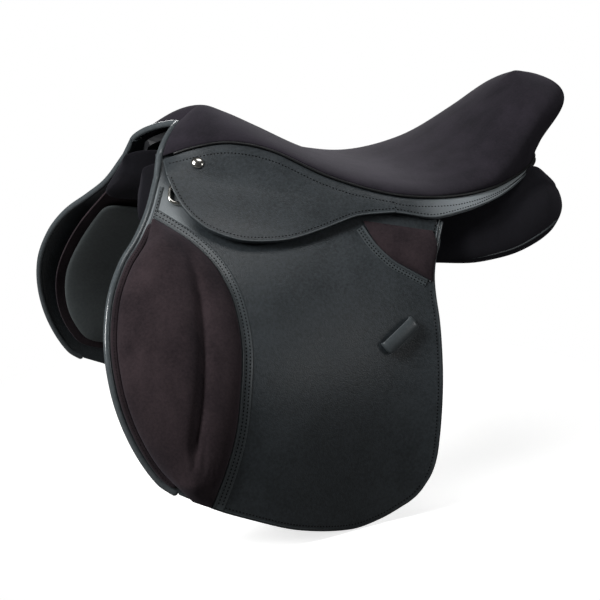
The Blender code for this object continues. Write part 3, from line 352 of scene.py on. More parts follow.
# Shapes that the pieces follow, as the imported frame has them


@dataclass(frozen=True)
class SideShape:
    """The curved side of the saddle, which the flap, the skirt and the pads follow.

    A point of it is given by x, z and a distance out from the inner face of the flap.
    """

    fold_front: tuple[float, float, float] = (-0.222, 0.070, 0.065)
    fold_rear: tuple[float, float, float] = (0.056, 0.152, 0.018)
    spread_front: tuple[Pair, ...] = (
        (0.0, 0.0), (0.036, 0.031), (0.060, 0.060), (0.084, 0.087), (0.112, 0.111),
        (0.145, 0.134), (0.176, 0.149), (0.212, 0.159), (0.256, 0.165), (0.340, 0.169),
    )
    spread_rear: tuple[Pair, ...] = (
        (0.0, 0.0), (0.018, 0.009), (0.048, 0.023), (0.078, 0.035), (0.118, 0.049),
        (0.168, 0.061), (0.218, 0.067), (0.302, 0.070),
    )
    rise: tuple[Pair, ...] = (
        (-0.222, 0.95), (-0.180, 0.68), (-0.146, 0.48), (-0.050, 0.50), (0.010, 0.60), (0.056, 0.80),
    )
    lean: float = 0.62
    ease_over: float = 0.030

    def fold_z(self, x: float) -> float:
        """Height of the fold line, about which the flap lifts, over a place along the saddle."""
        share = (x - self.fold_front[0]) / (self.fold_rear[0] - self.fold_front[0])
        return lerp(self.fold_front[2], self.fold_rear[2], share)

    def half_width(self, x: float, z: float) -> float:
        """Half-width of the inner face of the flap.

        Args:
            x: place along the saddle.
            z: height.

        Returns:
            The distance from the plane of symmetry.
        """
        share = (x - self.fold_front[0]) / (self.fold_rear[0] - self.fold_front[0])
        at_fold = lerp(self.fold_front[1], self.fold_rear[1], share)
        drop = self.fold_z(x) - z
        if drop < 0.0:
            return at_fold + graph(self.rise, x) * drop
        return at_fold + lerp(graph(self.spread_front, drop), graph(self.spread_rear, drop), ease(share))

    def fold_normal(self) -> Vector:
        """Direction out from the side at the fold."""
        run = Vector(self.fold_rear) - Vector(self.fold_front)
        return Vector((-(run.y + self.lean * run.z) / run.x, 1.0, self.lean)).normalized()

    def normal(self, x: float, z: float) -> Vector:
        """Direction out from the side, which eases into the one direction of the fold.

        Args:
            x: place along the saddle.
            z: height.

        Returns:
            A unit vector.
        """
        step = 0.002
        along = (self.half_width(x + step, z) - self.half_width(x - step, z)) / (2 * step)
        rise = (self.half_width(x, z + step) - self.half_width(x, z - step)) / (2 * step)
        own = Vector((-along, 1.0, -rise)).normalized()
        away = ease(abs(self.fold_z(x) - z) / self.ease_over)
        return self.fold_normal().lerp(own, away).normalized()

    def point(self, x: float, z: float, out: float) -> Vector:
        """Point at a distance out from the inner face of the flap."""
        return Vector((x, self.half_width(x, z), z)) + self.normal(x, z) * out

    def under_fold(self, x: float, drop: float) -> Vector:
        """Place on the side at a drop below the fold line, as x and z."""
        return Vector((x, self.fold_z(x) - drop))

    def along_fold(self, x0: float, x1: float, drop: float) -> list[Vector]:
        """Points of a line parallel to the fold line."""
        return [self.under_fold(lerp(x0, x1, s), drop) for s in (0.0, 0.5, 1.0)]

    def run_over(self, places: Sequence[Vector], out: float) -> Run:
        """Points of the side with the directions out from it.

        Args:
            places: (x, z) places.
            out: distance out from the inner face of the flap.

        Returns:
            The run, which a strip or a row of stitches follows.
        """
        return [(self.point(p.x, p.y, out), self.normal(p.x, p.y)) for p in places]

    def axes(self, x: float, z: float, lean: float = 0.0) -> Matrix:
        """Directions at a place of the side, as the rows: along it, up it and out from it.

        Args:
            x: place along the saddle.
            z: height.
            lean: turn about the direction out, in radians.

        Returns:
            The three directions.
        """
        out = self.normal(x, z)
        run = Vector(self.fold_rear) - Vector(self.fold_front)
        along = Matrix.Rotation(lean, 3, out) @ (run - out * run.dot(out)).normalized()
        up = along.cross(out)
        return Matrix((along, up if up.z > 0.0 else -up, out))

    def bend(self, above: float, below: float) -> tuple[Vector, Vector]:
        """Two points square to the fold line, between which leather bends.

        Args:
            above: distance above the fold line where the bend starts.
            below: distance below it where the bend ends.

        Returns:
            The start and the end.
        """
        run = (Vector(self.fold_rear) - Vector(self.fold_front)).normalized()
        down = run.cross(self.fold_normal()).normalized()
        if down.z > 0.0:
            down = -down
        middle = (Vector(self.fold_rear) + Vector(self.fold_front)) / 2
        return middle - down * above, middle + down * below


@dataclass(frozen=True)
class SeatShape:
    """The dome of the seat: its crest, and its edge at the welt."""

    crest: tuple[Pair, ...] = (
        (-0.177, 0.114), (-0.155, 0.129), (-0.128, 0.121), (-0.090, 0.103), (-0.040, 0.0785),
        (0.010, 0.062), (0.070, 0.056), (0.130, 0.077), (0.180, 0.115), (0.211, 0.1430),
        (0.223, 0.1515), (0.2295, 0.1515),
    )
    edge: tuple[tuple[float, float, float], ...] = (
        (-0.213, 0.061, 0.087), (-0.180, 0.073, 0.098), (-0.146, 0.083, 0.102),
        (-0.105, 0.097, 0.093), (-0.052, 0.119, 0.067), (0.010, 0.140, 0.048),
        (0.070, 0.145, 0.042), (0.130, 0.133, 0.045), (0.180, 0.106, 0.054),
        (0.215, 0.070, 0.060), (0.238, 0.032, 0.061), (0.245, 0.0, 0.061),
    )
    bulge: tuple[float, ...] = (0.0, 0.0, 0.0, 0.0, 0.0, 0.0, 0.002, 0.006, 0.013, 0.027, 0.039, 0.041)
    powers: tuple[Pair, ...] = ((0.0, 1.44), (0.12, 1.52), (0.30, 2.0), (0.50, 2.1), (0.75, 2.0), (1.0, 2.2))

    def edge_over(self, x: float) -> Vector:
        """Edge of the seat over a place along the saddle.

        Args:
            x: place along the saddle.

        Returns:
            The point of the edge.
        """
        rim = Stations(self.edge)
        low, high = 0.0, 1.0
        for _ in range(24):
            middle = (low + high) / 2
            low, high = (middle, high) if rim(middle).x < x else (low, middle)
        return rim(low)

    def top(self, u: float, t: float) -> Vector:
        """Point of the dome: t is 0 on the crest, and -1 and 1 on its two edges.

        Args:
            u: share from the pommel to the cantle.
            t: share from the crest to an edge.

        Returns:
            The point.
        """
        high, rim = Stations(self.crest)(u), Stations(self.edge)(u)
        swell = Stations([(value, 0.0) for value in self.bulge])(u).x
        power = graph(self.powers, u)
        angle = abs(t) * math.pi / 2
        across = math.sin(angle) ** (2 / power)
        up = max(math.cos(angle), 0.0) ** (2 / power)
        run = Vector((0.0, 1.0))
        if u > 0.5:
            back = ease((u - 0.5) / 0.5)
            run = Vector(((rim.x - high.x) * back + 0.02 * back * back, max(rim.y, 1e-9))).normalized()
        amount = swell * math.sin(2 * angle) ** 1.4 if 0.0 < abs(t) < 1.0 else 0.0
        half = rim.y * across + run.y * amount
        return Vector((
            lerp(high.x, rim.x, across) + run.x * amount,
            math.copysign(half, t) if t else 0.0,
            lerp(rim.z, high.y, up),
        ))


SIDE = SideShape()
SEAT = SeatShape()


# Sides, and pieces before they are fitted


class Hand(Enum):
    """The rider's left, or near, side and the right, or off, side."""

    NEAR = "near"
    OFF = "off"


class Edge(Enum):
    """How the cut edge of a leather piece is finished."""

    RAW = 0
    ROUNDED = 2


@dataclass
class Piece:
    """A modelled piece, and what it needs to be fitted to the frame.

    In body, stands_for, slot and bend, {hand} stands for near or off.
    """

    obj: bpy.types.Object
    body: str
    stands_for: tuple[str, ...] = ()
    slot: str = ""
    fill: float | None = None
    bend: tuple[str, Vector, Vector] | None = None

    def fit(self, hand: Hand) -> None:
        """Put the piece on its body and say what it stands for.

        Args:
            hand: the side that it belongs to.
        """
        def named(text: str) -> str:
            """The text with the side's name in it."""
            return text.replace("{hand}", hand.value)

        if self.bend:
            other, start, end = self.bend
            turn = -1.0 if hand is Hand.NEAR else 1.0
            start, end = (Vector((p.x, p.y * turn, p.z)) for p in (start, end))
            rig.blend(self.obj, named(self.body), named(other), start=start, end=end)
        else:
            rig.ride(self.obj, named(self.body))
        if self.stands_for:
            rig.replaces(self.obj, *[named(node) for node in self.stands_for])
        if self.slot:
            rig.slot(self.obj, named(self.slot))
        if self.fill is not None:
            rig.padded(self.obj, fill=self.fill)
        log.info("%s: %d faces, on %s", self.obj.name, len(self.obj.data.polygons), named(self.body))

    def turned_over(self) -> "Piece":
        """The same piece for the near side, with its own mesh."""
        mesh = self.obj.data.copy()
        mesh.transform(Matrix.Diagonal((1.0, -1.0, 1.0, 1.0)))
        mesh.flip_normals()
        return replace(self, obj=linked(self.obj.name.replace("_off", "_near"), mesh))


def fit_both(pieces: Sequence[Piece]) -> None:
    """Fit pieces of the off side, and their turned copies of the near side.

    Args:
        pieces: pieces modelled on the off side, whose names end in _off.
    """
    for piece in pieces:
        near = piece.turned_over()
        piece.fit(Hand.OFF)
        near.fit(Hand.NEAR)


# Modelling


def linked(name: str, mesh: bpy.types.Mesh) -> bpy.types.Object:
    """New object of the scene, which shares its name with its mesh."""
    mesh.name = name
    obj = bpy.data.objects.new(name, mesh)
    bpy.context.scene.collection.objects.link(obj)
    return obj


def only(obj: bpy.types.Object) -> bpy.types.Object:
    """Select one object alone and make it active."""
    bpy.ops.object.select_all(action="DESELECT")
    obj.select_set(True)
    bpy.context.view_layer.objects.active = obj
    return obj


@contextmanager
def editing(obj: bpy.types.Object) -> Iterator[None]:
    """Edit mode on one object, with its whole mesh selected.

    Args:
        obj: the object.
    """
    only(obj)
    bpy.ops.object.mode_set(mode="EDIT")
    bpy.ops.mesh.select_all(action="SELECT")
    yield
    bpy.ops.object.mode_set(mode="OBJECT")


def apply(obj: bpy.types.Object, kind: str, **settings: object) -> None:
    """Add a modifier with its settings and apply it.

    Args:
        obj: the object.
        kind: the modifier's type.
        settings: its properties.
    """
    modifier = obj.modifiers.new(kind.title(), kind)
    for key, value in settings.items():
        setattr(modifier, key, value)
    only(obj)
    bpy.ops.object.modifier_apply(modifier=modifier.name)


def subdivide(obj: bpy.types.Object, levels: int) -> None:
    """Smooth a mesh by subdivision."""
    apply(obj, "SUBSURF", levels=levels, render_levels=levels)


def shade(obj: bpy.types.Object, finish: bpy.types.Material, angle: float = 40.0) -> bpy.types.Object:
    """Shade a piece smooth up to an angle and give it its material.

    Args:
        obj: the piece.
        finish: its material.
        angle: edges sharper than this stay sharp, in degrees.

    Returns:
        The piece.
    """
    only(obj)
    bpy.ops.object.shade_smooth_by_angle(angle=math.radians(angle))
    obj.data.materials.clear()
    obj.data.materials.append(finish)
    return obj


def face_out(obj: bpy.types.Object, out: Sequence[float]) -> None:
    """Turn an open surface over if it faces against a direction.

    Args:
        obj: the surface.
        out: the direction that it should face.
    """
    out = Vector(out)
    if sum(face.normal.dot(out) * face.area for face in obj.data.polygons) < 0.0:
        with editing(obj):
            bpy.ops.mesh.flip_normals()


def surface(name: str, columns: int, rows: int, place: Place, out: Sequence[float],
            hole: Callable[[float, float], bool] | None = None) -> bpy.types.Object:
    """Open surface from a grid, with each vertex moved to its place.

    Args:
        name: the piece's name.
        columns: number of squares along u.
        rows: number of squares along v.
        place: gives a point for u and v from 0 to 1.
        out: direction that the surface faces.
        hole: says whether the middle of a square lies in an opening.

    Returns:
        The surface, which has u and v as its UV map.
    """
    bpy.ops.object.select_all(action="DESELECT")
    bpy.ops.mesh.primitive_grid_add(x_subdivisions=columns, y_subdivisions=rows, size=1.0)
    obj = bpy.context.active_object
    obj.name = obj.data.name = name
    if hole:
        bpy.ops.object.mode_set(mode="EDIT")
        bpy.ops.mesh.select_all(action="DESELECT")
        bpy.ops.object.mode_set(mode="OBJECT")
        for face in obj.data.polygons:
            face.select = hole(face.center.x + 0.5, face.center.y + 0.5)
        bpy.ops.object.mode_set(mode="EDIT")
        bpy.ops.mesh.delete(type="FACE")
        bpy.ops.object.mode_set(mode="OBJECT")
    for vert in obj.data.vertices:
        vert.co = place(vert.co.x + 0.5, vert.co.y + 0.5)
    obj.data.update()
    face_out(obj, out)
    return obj


def thicken(obj: bpy.types.Object, thick: float, edge: Edge = Edge.ROUNDED) -> None:
    """Give an open leather surface its thickness inwards, and its edges their finish.

    Args:
        obj: the surface.
        thick: thickness of the leather.
        edge: how its edges are cut.
    """
    apply(obj, "SOLIDIFY", thickness=thick, offset=-1.0)
    if edge is Edge.ROUNDED:
        apply(obj, "BEVEL", width=thick * 0.32, segments=edge.value, limit_method="ANGLE",
              angle_limit=math.radians(50.0))


def pad(name: str, columns: int, rows: int, outer: Place, inner: Place,
        out: Sequence[float]) -> bpy.types.Object:
    """Closed cushion between a crowned outer face and a flat inner one.

    Args:
        name: the piece's name.
        columns: number of squares along u.
        rows: number of squares along v.
        outer: gives the outer face's point for u and v.
        inner: gives the inner face's point for u and v.
        out: direction that the outer face faces.

    Returns:
        The cushion.
    """
    obj = surface(name, columns, rows, lambda u, v: Vector((u, v, 0.0)), (0.0, 0.0, 1.0))
    with editing(obj):
        bpy.ops.mesh.extrude_region_move(TRANSFORM_OT_translate={"value": (0.0, 0.0, 1.0)})
    for vert in obj.data.vertices:
        u, v = vert.co.x, vert.co.y
        vert.co = outer(u, v) if vert.co.z > 0.5 else inner(u, v)
    obj.data.update()
    with editing(obj):
        bpy.ops.mesh.remove_doubles(threshold=1e-6)
        bpy.ops.mesh.normals_make_consistent(inside=False)
    return obj


def refined(name: str, node: str, bevel: float = 0.0, levels: int = 2) -> bpy.types.Object:
    """Finer copy of one of the frame's nodes.

    Args:
        name: the piece's name.
        node: the node.
        bevel: width of its rounded edges, or 0.
        levels: how often it is subdivided.

    Returns:
        The copy.
    """
    obj = linked(name, bpy.data.objects[node].data.copy())
    obj.data.materials.clear()
    with editing(obj):
        bpy.ops.mesh.customdata_custom_splitnormals_clear()
        bpy.ops.mesh.remove_doubles(threshold=1e-5)
        bpy.ops.mesh.tris_convert_to_quads(face_threshold=math.radians(35.0),
                                           shape_threshold=math.radians(60.0))
        bpy.ops.mesh.normals_make_consistent(inside=False)
    if bevel:
        apply(obj, "BEVEL", width=bevel, segments=2, limit_method="ANGLE", angle_limit=math.radians(40.0))
    if levels:
        subdivide(obj, levels)
    return obj


def sweep(name: str, run: Run, profile: Sequence[Pair], taper: float = 0.0) -> bpy.types.Object:
    """Strip or cord: a closed profile carried along a run.

    Args:
        name: the piece's name.
        run: points with directions out.
        profile: (across, out) points of the section, in order round it.
        taper: length over which the section narrows to nothing at each end.

    Returns:
        The strip, with its ends closed.
    """
    bm = bmesh.new()
    rings = []
    total = sum((b[0] - a[0]).length for a, b in zip(run, run[1:]))
    gone = 0.0
    for index, (point, out) in enumerate(run):
        before, after = run[max(index - 1, 0)][0], run[min(index + 1, len(run) - 1)][0]
        along = (after - before).normalized()
        up = (out - along * out.dot(along)).normalized()
        across = up.cross(along)
        if index:
            gone += (point - run[index - 1][0]).length
        size = 1.0
        if taper:
            left = 1.0 - min(min(gone, total - gone) / taper, 1.0)
            size = max(math.sqrt(1.0 - left * left), 0.05)
        rings.append([bm.verts.new(point + (across * a + up * n) * size) for a, n in profile])
    count = len(profile)
    for low, high in zip(rings, rings[1:]):
        for i in range(count):
            bm.faces.new((low[i], low[(i + 1) % count], high[(i + 1) % count], high[i]))
    bm.faces.new(rings[0])
    bm.faces.new(reversed(rings[-1]))
    bmesh.ops.recalc_face_normals(bm, faces=bm.faces)
    mesh = bpy.data.meshes.new(name)
    bm.to_mesh(mesh)
    bm.free()
    return linked(name, mesh)


def cord(name: str, points: Sequence[Vector], radius: float, count: int = 120,
         ring: int = 14) -> bpy.types.Object:
    """Round cord through points, with rounded ends.

    Args:
        name: the piece's name.
        points: points of its centre line.
        radius: its radius.
        count: number of steps along it.
        ring: number of sides.

    Returns:
        The cord.
    """
    line = Course(points)
    shares = [i / count for i in range(count + 1)]
    tips = [radius * share / line.length for share in (0.08, 0.3, 0.6)]
    shares = sorted({*shares, *tips, *[1.0 - tip for tip in tips]})
    run = [(line(share), Vector((0.0, 0.3, 1.0))) for share in shares]
    section = [(radius * math.cos(2 * math.pi * i / ring), radius * math.sin(2 * math.pi * i / ring))
               for i in range(ring)]
    return sweep(name, run, section, taper=radius)


def half_round(width: float, height: float, sunk: float = 0.0004, steps: int = 8) -> list[Pair]:
    """Section of a flat strip with a rounded top.

    Args:
        width: its width.
        height: how far it stands up.
        sunk: how far it reaches into what it lies on.
        steps: number of steps over the top.

    Returns:
        The (across, out) points.
    """
    top = []
    for i in range(steps + 1):
        turn = math.pi * i / steps
        c, s = math.cos(turn), math.sin(turn)
        top.append((width / 2 * math.copysign(abs(c) ** 0.7, c), height * s**0.7))
    return top + [(-width / 2, -sunk), (width / 2, -sunk)]


def joined(name: str, objects: Sequence[bpy.types.Object]) -> bpy.types.Object:
    """Join objects into the first one and name it.

    Args:
        name: the joined piece's name.
        objects: the objects.

    Returns:
        The joined piece.
    """
    bpy.ops.object.select_all(action="DESELECT")
    for obj in objects:
        obj.select_set(True)
    bpy.context.view_layer.objects.active = objects[0]
    if len(objects) > 1:
        bpy.ops.object.join()
    objects[0].name = objects[0].data.name = name
    return objects[0]


@dataclass(frozen=True)
class Stitching:
    """Machine stitching: short lengths of thread that dip into the leather."""

    pitch: float = 3.6 * MM
    length: float = 2.4 * MM
    width: float = 1.35 * MM
    height: float = 1.0 * MM

    def stitch(self) -> tuple[np.ndarray, list[tuple[int, ...]]]:
        """Model one stitch.

        Returns:
            Its points, along X and standing up along Z, and its faces.
        """
        bpy.ops.object.select_all(action="DESELECT")
        bpy.ops.mesh.primitive_uv_sphere_add(segments=8, ring_count=6, radius=0.5)
        obj = bpy.context.active_object
        points = np.array([tuple(v.co) for v in obj.data.vertices])
        # The poles of the sphere become the two ends, and the ends dip
        points = points[:, [2, 0, 1]] * (self.length, self.width, self.height)
        points[:, 2] -= 0.35 * self.height * (2 * points[:, 0] / self.length) ** 2
        faces = [tuple(face.vertices) for face in obj.data.polygons]
        bpy.data.objects.remove(obj)
        return points, faces

    def rows(self, name: str, runs: Sequence[Run], finish: bpy.types.Material) -> bpy.types.Object:
        """Rows of stitches along runs, as one piece.

        Args:
            name: the piece's name.
            runs: the runs, each of points with directions out.
            finish: the thread's material.

        Returns:
            The stitches.
        """
        shape, pattern = self.stitch()
        points, faces = [], []
        for run in runs:
            marks = [0.0]
            for a, b in zip(run, run[1:]):
                marks.append(marks[-1] + (b[0] - a[0]).length)
            count = max(int(marks[-1] / self.pitch), 1)
            index = 0
            for i in range(count):
                at = (i + 0.5) * marks[-1] / count
                while index < len(marks) - 2 and at > marks[index + 1]:
                    index += 1
                share = (at - marks[index]) / max(marks[index + 1] - marks[index], 1e-9)
                (a, up_a), (b, up_b) = run[index], run[index + 1]
                along = (b - a).normalized()
                up = up_a.lerp(up_b, share)
                up = (up - along * up.dot(along)).normalized()
                turn = np.array([along, up.cross(along), up])
                base = len(points) * len(shape)
                points.append(shape @ turn + np.array(a.lerp(b, share)))
                faces += [tuple(base + n for n in face) for face in pattern]
        mesh = bpy.data.meshes.new(name)
        mesh.from_pydata(np.concatenate(points).tolist(), [], faces)
        mesh.update()
        obj = linked(name, mesh)
        with editing(obj):
            bpy.ops.mesh.normals_make_consistent(inside=False)
        return shade(obj, finish, 80.0)


@dataclass(frozen=True)
class Stuffing:
    """Cloth simulation that swells a stuffed cover, as flock or foam does."""

    pressure: float = 4.0
    frames: int = 12
    cap: float = 1.2 * MM

    def fill(self, obj: bpy.types.Object, held: Callable[[Vector], bool]) -> None:
        """Swell a cover and keep the result in its mesh.

        Args:
            obj: the cover.
            held: says which vertices stay where they are.
        """
        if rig.quick():
            return
        rest = [vert.co.copy() for vert in obj.data.vertices]
        group = obj.vertex_groups.new(name="held")
        group.add([vert.index for vert in obj.data.vertices if held(vert.co)], 1.0, "REPLACE")
        modifier = obj.modifiers.new("Cloth", "CLOTH")
        cloth = modifier.settings
        cloth.use_pressure = True
        cloth.uniform_pressure_force = self.pressure
        cloth.effector_weights.gravity = 0.0
        cloth.vertex_group_mass = "held"
        cloth.quality = 4
        modifier.point_cache.frame_start = 1
        modifier.point_cache.frame_end = self.frames
        for frame in range(1, self.frames + 1):
            bpy.context.scene.frame_set(frame)
        depsgraph = bpy.context.evaluated_depsgraph_get()
        moved = [vert.co.copy() for vert in obj.evaluated_get(depsgraph).data.vertices]
        obj.modifiers.remove(modifier)
        obj.vertex_groups.remove(group)
        for vert, old, new in zip(obj.data.vertices, rest, moved):
            step = new - old
            if step.length > self.cap:
                step *= self.cap / step.length
            vert.co = old + step
        obj.data.update()
        bpy.context.scene.frame_set(1)


# Finishes


def linear(hex_colour: str) -> tuple[float, float, float, float]:
    """Linear colour of an sRGB hex value."""
    values = [int(hex_colour[i:i + 2], 16) / 255 for i in (1, 3, 5)]
    return (*[v / 12.92 if v <= 0.04045 else ((v + 0.055) / 1.055) ** 2.4 for v in values], 1.0)


def add(tree: bpy.types.NodeTree, kind: str, settings: dict | None = None, links: dict | None = None):
    """Add a node with its settings and links.

    Args:
        tree: the node tree.
        kind: the node's type.
        settings: values of its inputs, by name or index, or of its properties.
        links: sources of its inputs, by name or index.

    Returns:
        The node.
    """
    node = tree.nodes.new(kind)
    for key, value in (settings or {}).items():
        if not isinstance(key, int) and key not in node.inputs.keys():
            setattr(node, key, value)
    for key, value in (settings or {}).items():
        if isinstance(key, int) or key in node.inputs.keys():
            node.inputs[key].default_value = value
    for key, source in (links or {}).items():
        tree.links.new(source, node.inputs[key])
    return node


def noise(tree: bpy.types.NodeTree, place: bpy.types.NodeSocket, scale: float, detail: float,
          rough: float = 0.5) -> bpy.types.Node:
    """Noise texture of a scale at a place."""
    settings = {"Scale": scale, "Detail": detail, "Roughness": rough}
    return add(tree, "ShaderNodeTexNoise", settings, {"Vector": place})


def blended(tree: bpy.types.NodeTree, share: float, low: bpy.types.NodeSocket,
            high: bpy.types.NodeSocket) -> bpy.types.NodeSocket:
    """Value at a share of the way between two patterns."""
    return add(tree, "ShaderNodeMix", {"data_type": "FLOAT", 0: share}, {2: low, 3: high}).outputs[0]


def emboss(tree: bpy.types.NodeTree, shader: bpy.types.Node, height: bpy.types.NodeSocket, strength: float,
           depth: float, invert: bool = False) -> None:
    """Give a shader the fine relief of a pattern."""
    settings = {"Strength": strength, "Distance": depth, "invert": invert}
    bump = add(tree, "ShaderNodeBump", settings, {"Height": height})
    tree.links.new(bump.outputs[0], shader.inputs["Normal"])


@dataclass(frozen=True)
class Finish:
    """A material: its name, and the values of its shader."""

    name: str
    colour: str
    roughness: float

    def start(self) -> tuple[bpy.types.NodeTree, bpy.types.Node, bpy.types.NodeSocket]:
        """Make the material with its shader.

        Returns:
            The tree, the shader, and the place on the piece.
        """
        material = bpy.data.materials.new(self.name)
        material.use_nodes = True
        tree = material.node_tree
        shader = tree.nodes["Principled BSDF"]
        shader.inputs["Base Color"].default_value = linear(self.colour)
        shader.inputs["Roughness"].default_value = self.roughness
        place = add(tree, "ShaderNodeTexCoord").outputs["Object"]
        return tree, shader, place

    def mixed(self, tree: bpy.types.NodeTree, share: bpy.types.NodeSocket, low: str, high: str,
              span: Pair = (0.3, 0.7)) -> bpy.types.NodeSocket:
        """Colour between two, by a pattern.

        Args:
            tree: the node tree.
            share: the pattern.
            low: colour at the pattern's low end.
            high: colour at its high end.
            span: values of the pattern that count as its ends.

        Returns:
            The colour.
        """
        ramp = add(tree, "ShaderNodeValToRGB", links={"Fac": share})
        for stop, at, colour in zip(ramp.color_ramp.elements, span, (low, high)):
            stop.position = at
            stop.color = linear(colour)
        return ramp.outputs["Color"]


@dataclass(frozen=True)
class Suede(Finish):
    """Synthetic suede: a brushed microfibre nap on a knitted back.

    The nap scatters light, so it has no gloss and a soft sheen at grazing angles, and it
    lies in patches that look lighter or darker.
    """

    light: str = "#4a464c"
    sheen: float = 0.35
    sheen_colour: str = "#b7b2c0"
    fibre: float = 0.8 * MM
    patch: float = 30.0 * MM

    def build(self) -> bpy.types.Material:
        """Make the material."""
        tree, shader, place = self.start()
        stroke = add(tree, "ShaderNodeMapping", {"Scale": (1.0, 1.0, 0.45)}, {"Vector": place})
        patches = noise(tree, stroke.outputs[0], 1 / self.patch, 3.0, 0.55)
        fibres = noise(tree, place, 1 / self.fibre, 2.0, 0.6)
        speck = noise(tree, place, 0.3 / self.fibre, 4.0, 0.7)
        blend = blended(tree, 0.42, patches.outputs["Fac"], speck.outputs["Fac"])
        shader.inputs["Sheen Weight"].default_value = self.sheen
        shader.inputs["Sheen Roughness"].default_value = 0.6
        shader.inputs["Sheen Tint"].default_value = linear(self.sheen_colour)
        shader.inputs["Specular IOR Level"].default_value = 0.12
        tree.links.new(self.mixed(tree, blend, self.colour, self.light, (0.38, 0.64)),
                       shader.inputs["Base Color"])
        height = blended(tree, 0.5, fibres.outputs["Fac"], speck.outputs["Fac"])
        emboss(tree, shader, height, 0.55, 0.35 * MM)
        return bpy.data.materials[self.name]


@dataclass(frozen=True)
class GrainedLeather(Finish):
    """Synthetic leather: embossed polyurethane, coloured through, with a satin top coat.

    The embossing is a fine pebble grain about 1 mm across, and the top coat gives a broad,
    soft highlight, a little glossier where the leather is rubbed.
    """

    light: str = "#4b5154"
    grain: float = 1.5 * MM
    depth: float = 0.30 * MM
    strength: float = 0.75
    ior: float = 1.50
    level: float = 0.5
    # Painted highlight: x, z and radius of a round patch painted paler where the light falls, and the colour it is
    # painted
    painted_highlight: tuple[float, float, float] | None = None
    pale: str = "#5f666a"

    def paint_highlight(self, tree: bpy.types.NodeTree, place: bpy.types.NodeSocket, colour: bpy.types.NodeSocket,
               centre: tuple[float, float, float]) -> bpy.types.NodeSocket:
        """Colour with a painted highlight: paler in a round patch where the light falls brightest.

        Args:
            tree: the node tree.
            place: the place on the piece.
            colour: the leather's colour elsewhere.
            centre: x and z of the middle of the painted highlight, and the radius in which it fades.

        Returns:
            The colour.
        """
        x, z, radius = centre
        flat = add(tree, "ShaderNodeVectorMath", {"operation": "MULTIPLY", 1: (1.0, 0.0, 1.0)}, {0: place})
        away = add(tree, "ShaderNodeVectorMath", {"operation": "DISTANCE", 1: (x, 0.0, z)},
                   {0: flat.outputs[0]})
        share = add(tree, "ShaderNodeMapRange", {"From Min": radius, "From Max": radius * 0.35,
                                                 "interpolation_type": "SMOOTHSTEP"},
                    {"Value": away.outputs["Value"]})
        mixed = add(tree, "ShaderNodeMix", {"data_type": "RGBA", 7: linear(self.pale)},
                    {0: share.outputs[0], 6: colour})
        return mixed.outputs[2]

    def build(self) -> bpy.types.Material:
        """Make the material."""
        tree, shader, place = self.start()
        wander = noise(tree, place, 0.5 / self.grain, 2.0)
        shift = add(tree, "ShaderNodeVectorMath", {"operation": "SCALE", "Scale": 0.9 * self.grain},
                    {0: wander.outputs["Color"]})
        spot = add(tree, "ShaderNodeVectorMath", {"operation": "ADD"}, {0: place, 1: shift.outputs[0]})
        cells = add(tree, "ShaderNodeTexVoronoi", {"Scale": 1 / self.grain, "feature": "F1"},
                    {"Vector": spot.outputs[0]})
        pores = noise(tree, place, 3.2 / self.grain, 2.0)
        cloud = noise(tree, place, 22.0, 6.0, 0.72)
        tone = blended(tree, 0.55, cloud.outputs["Fac"], wander.outputs["Fac"])
        colour = self.mixed(tree, tone, self.colour, self.light, (0.38, 0.62))
        # Painted highlight, where the light falls brightest
        if self.painted_highlight:
            colour = self.paint_highlight(tree, place, colour, self.painted_highlight)
        tree.links.new(colour, shader.inputs["Base Color"])
        span = {"From Min": 0.3, "From Max": 0.7, "To Min": self.roughness - 0.05,
                "To Max": self.roughness + 0.07}
        gloss = add(tree, "ShaderNodeMapRange", span, {"Value": cloud.outputs["Fac"]})
        tree.links.new(gloss.outputs[0], shader.inputs["Roughness"])
        shader.inputs["IOR"].default_value = self.ior
        shader.inputs["Specular IOR Level"].default_value = self.level
        height = blended(tree, 0.3, cells.outputs["Distance"], pores.outputs["Fac"])
        emboss(tree, shader, height, self.strength, self.depth, invert=True)
        return bpy.data.materials[self.name]


@dataclass(frozen=True)
class Thread(Finish):
    """Bonded nylon thread: smooth, waxed, twisted of three strands."""

    def build(self) -> bpy.types.Material:
        """Make the material."""
        tree, shader, place = self.start()
        strands = add(tree, "ShaderNodeTexWave", {"Scale": 900.0, "Distortion": 2.0}, {"Vector": place})
        tree.links.new(self.mixed(tree, strands.outputs["Fac"], self.colour, "#111213", (0.2, 1.0)),
                       shader.inputs["Base Color"])
        shader.inputs["Specular IOR Level"].default_value = 0.15
        emboss(tree, shader, strands.outputs["Fac"], 0.4, 0.1 * MM)
        return bpy.data.materials[self.name]


@dataclass(frozen=True)
class Webbing(Finish):
    """Woven polypropylene webbing: two crossed sets of flat yarns, 1.6 mm apart."""

    pitch: float = 1.6 * MM

    def build(self) -> bpy.types.Material:
        """Make the material."""
        tree, shader, place = self.start()
        yarns = []
        for direction in ("X", "Z"):
            settings = {"Scale": 0.314 / self.pitch, "bands_direction": direction, "Distortion": 0.4}
            wave = add(tree, "ShaderNodeTexWave", settings, {"Vector": place})
            yarns.append(wave.outputs["Fac"])
        weave = add(tree, "ShaderNodeMath", {"operation": "MULTIPLY"}, {0: yarns[0], 1: yarns[1]})
        tree.links.new(self.mixed(tree, weave.outputs[0], "#151618", self.colour, (0.0, 0.6)),
                       shader.inputs["Base Color"])
        emboss(tree, shader, weave.outputs[0], 0.7, 0.4 * MM)
        return bpy.data.materials[self.name]


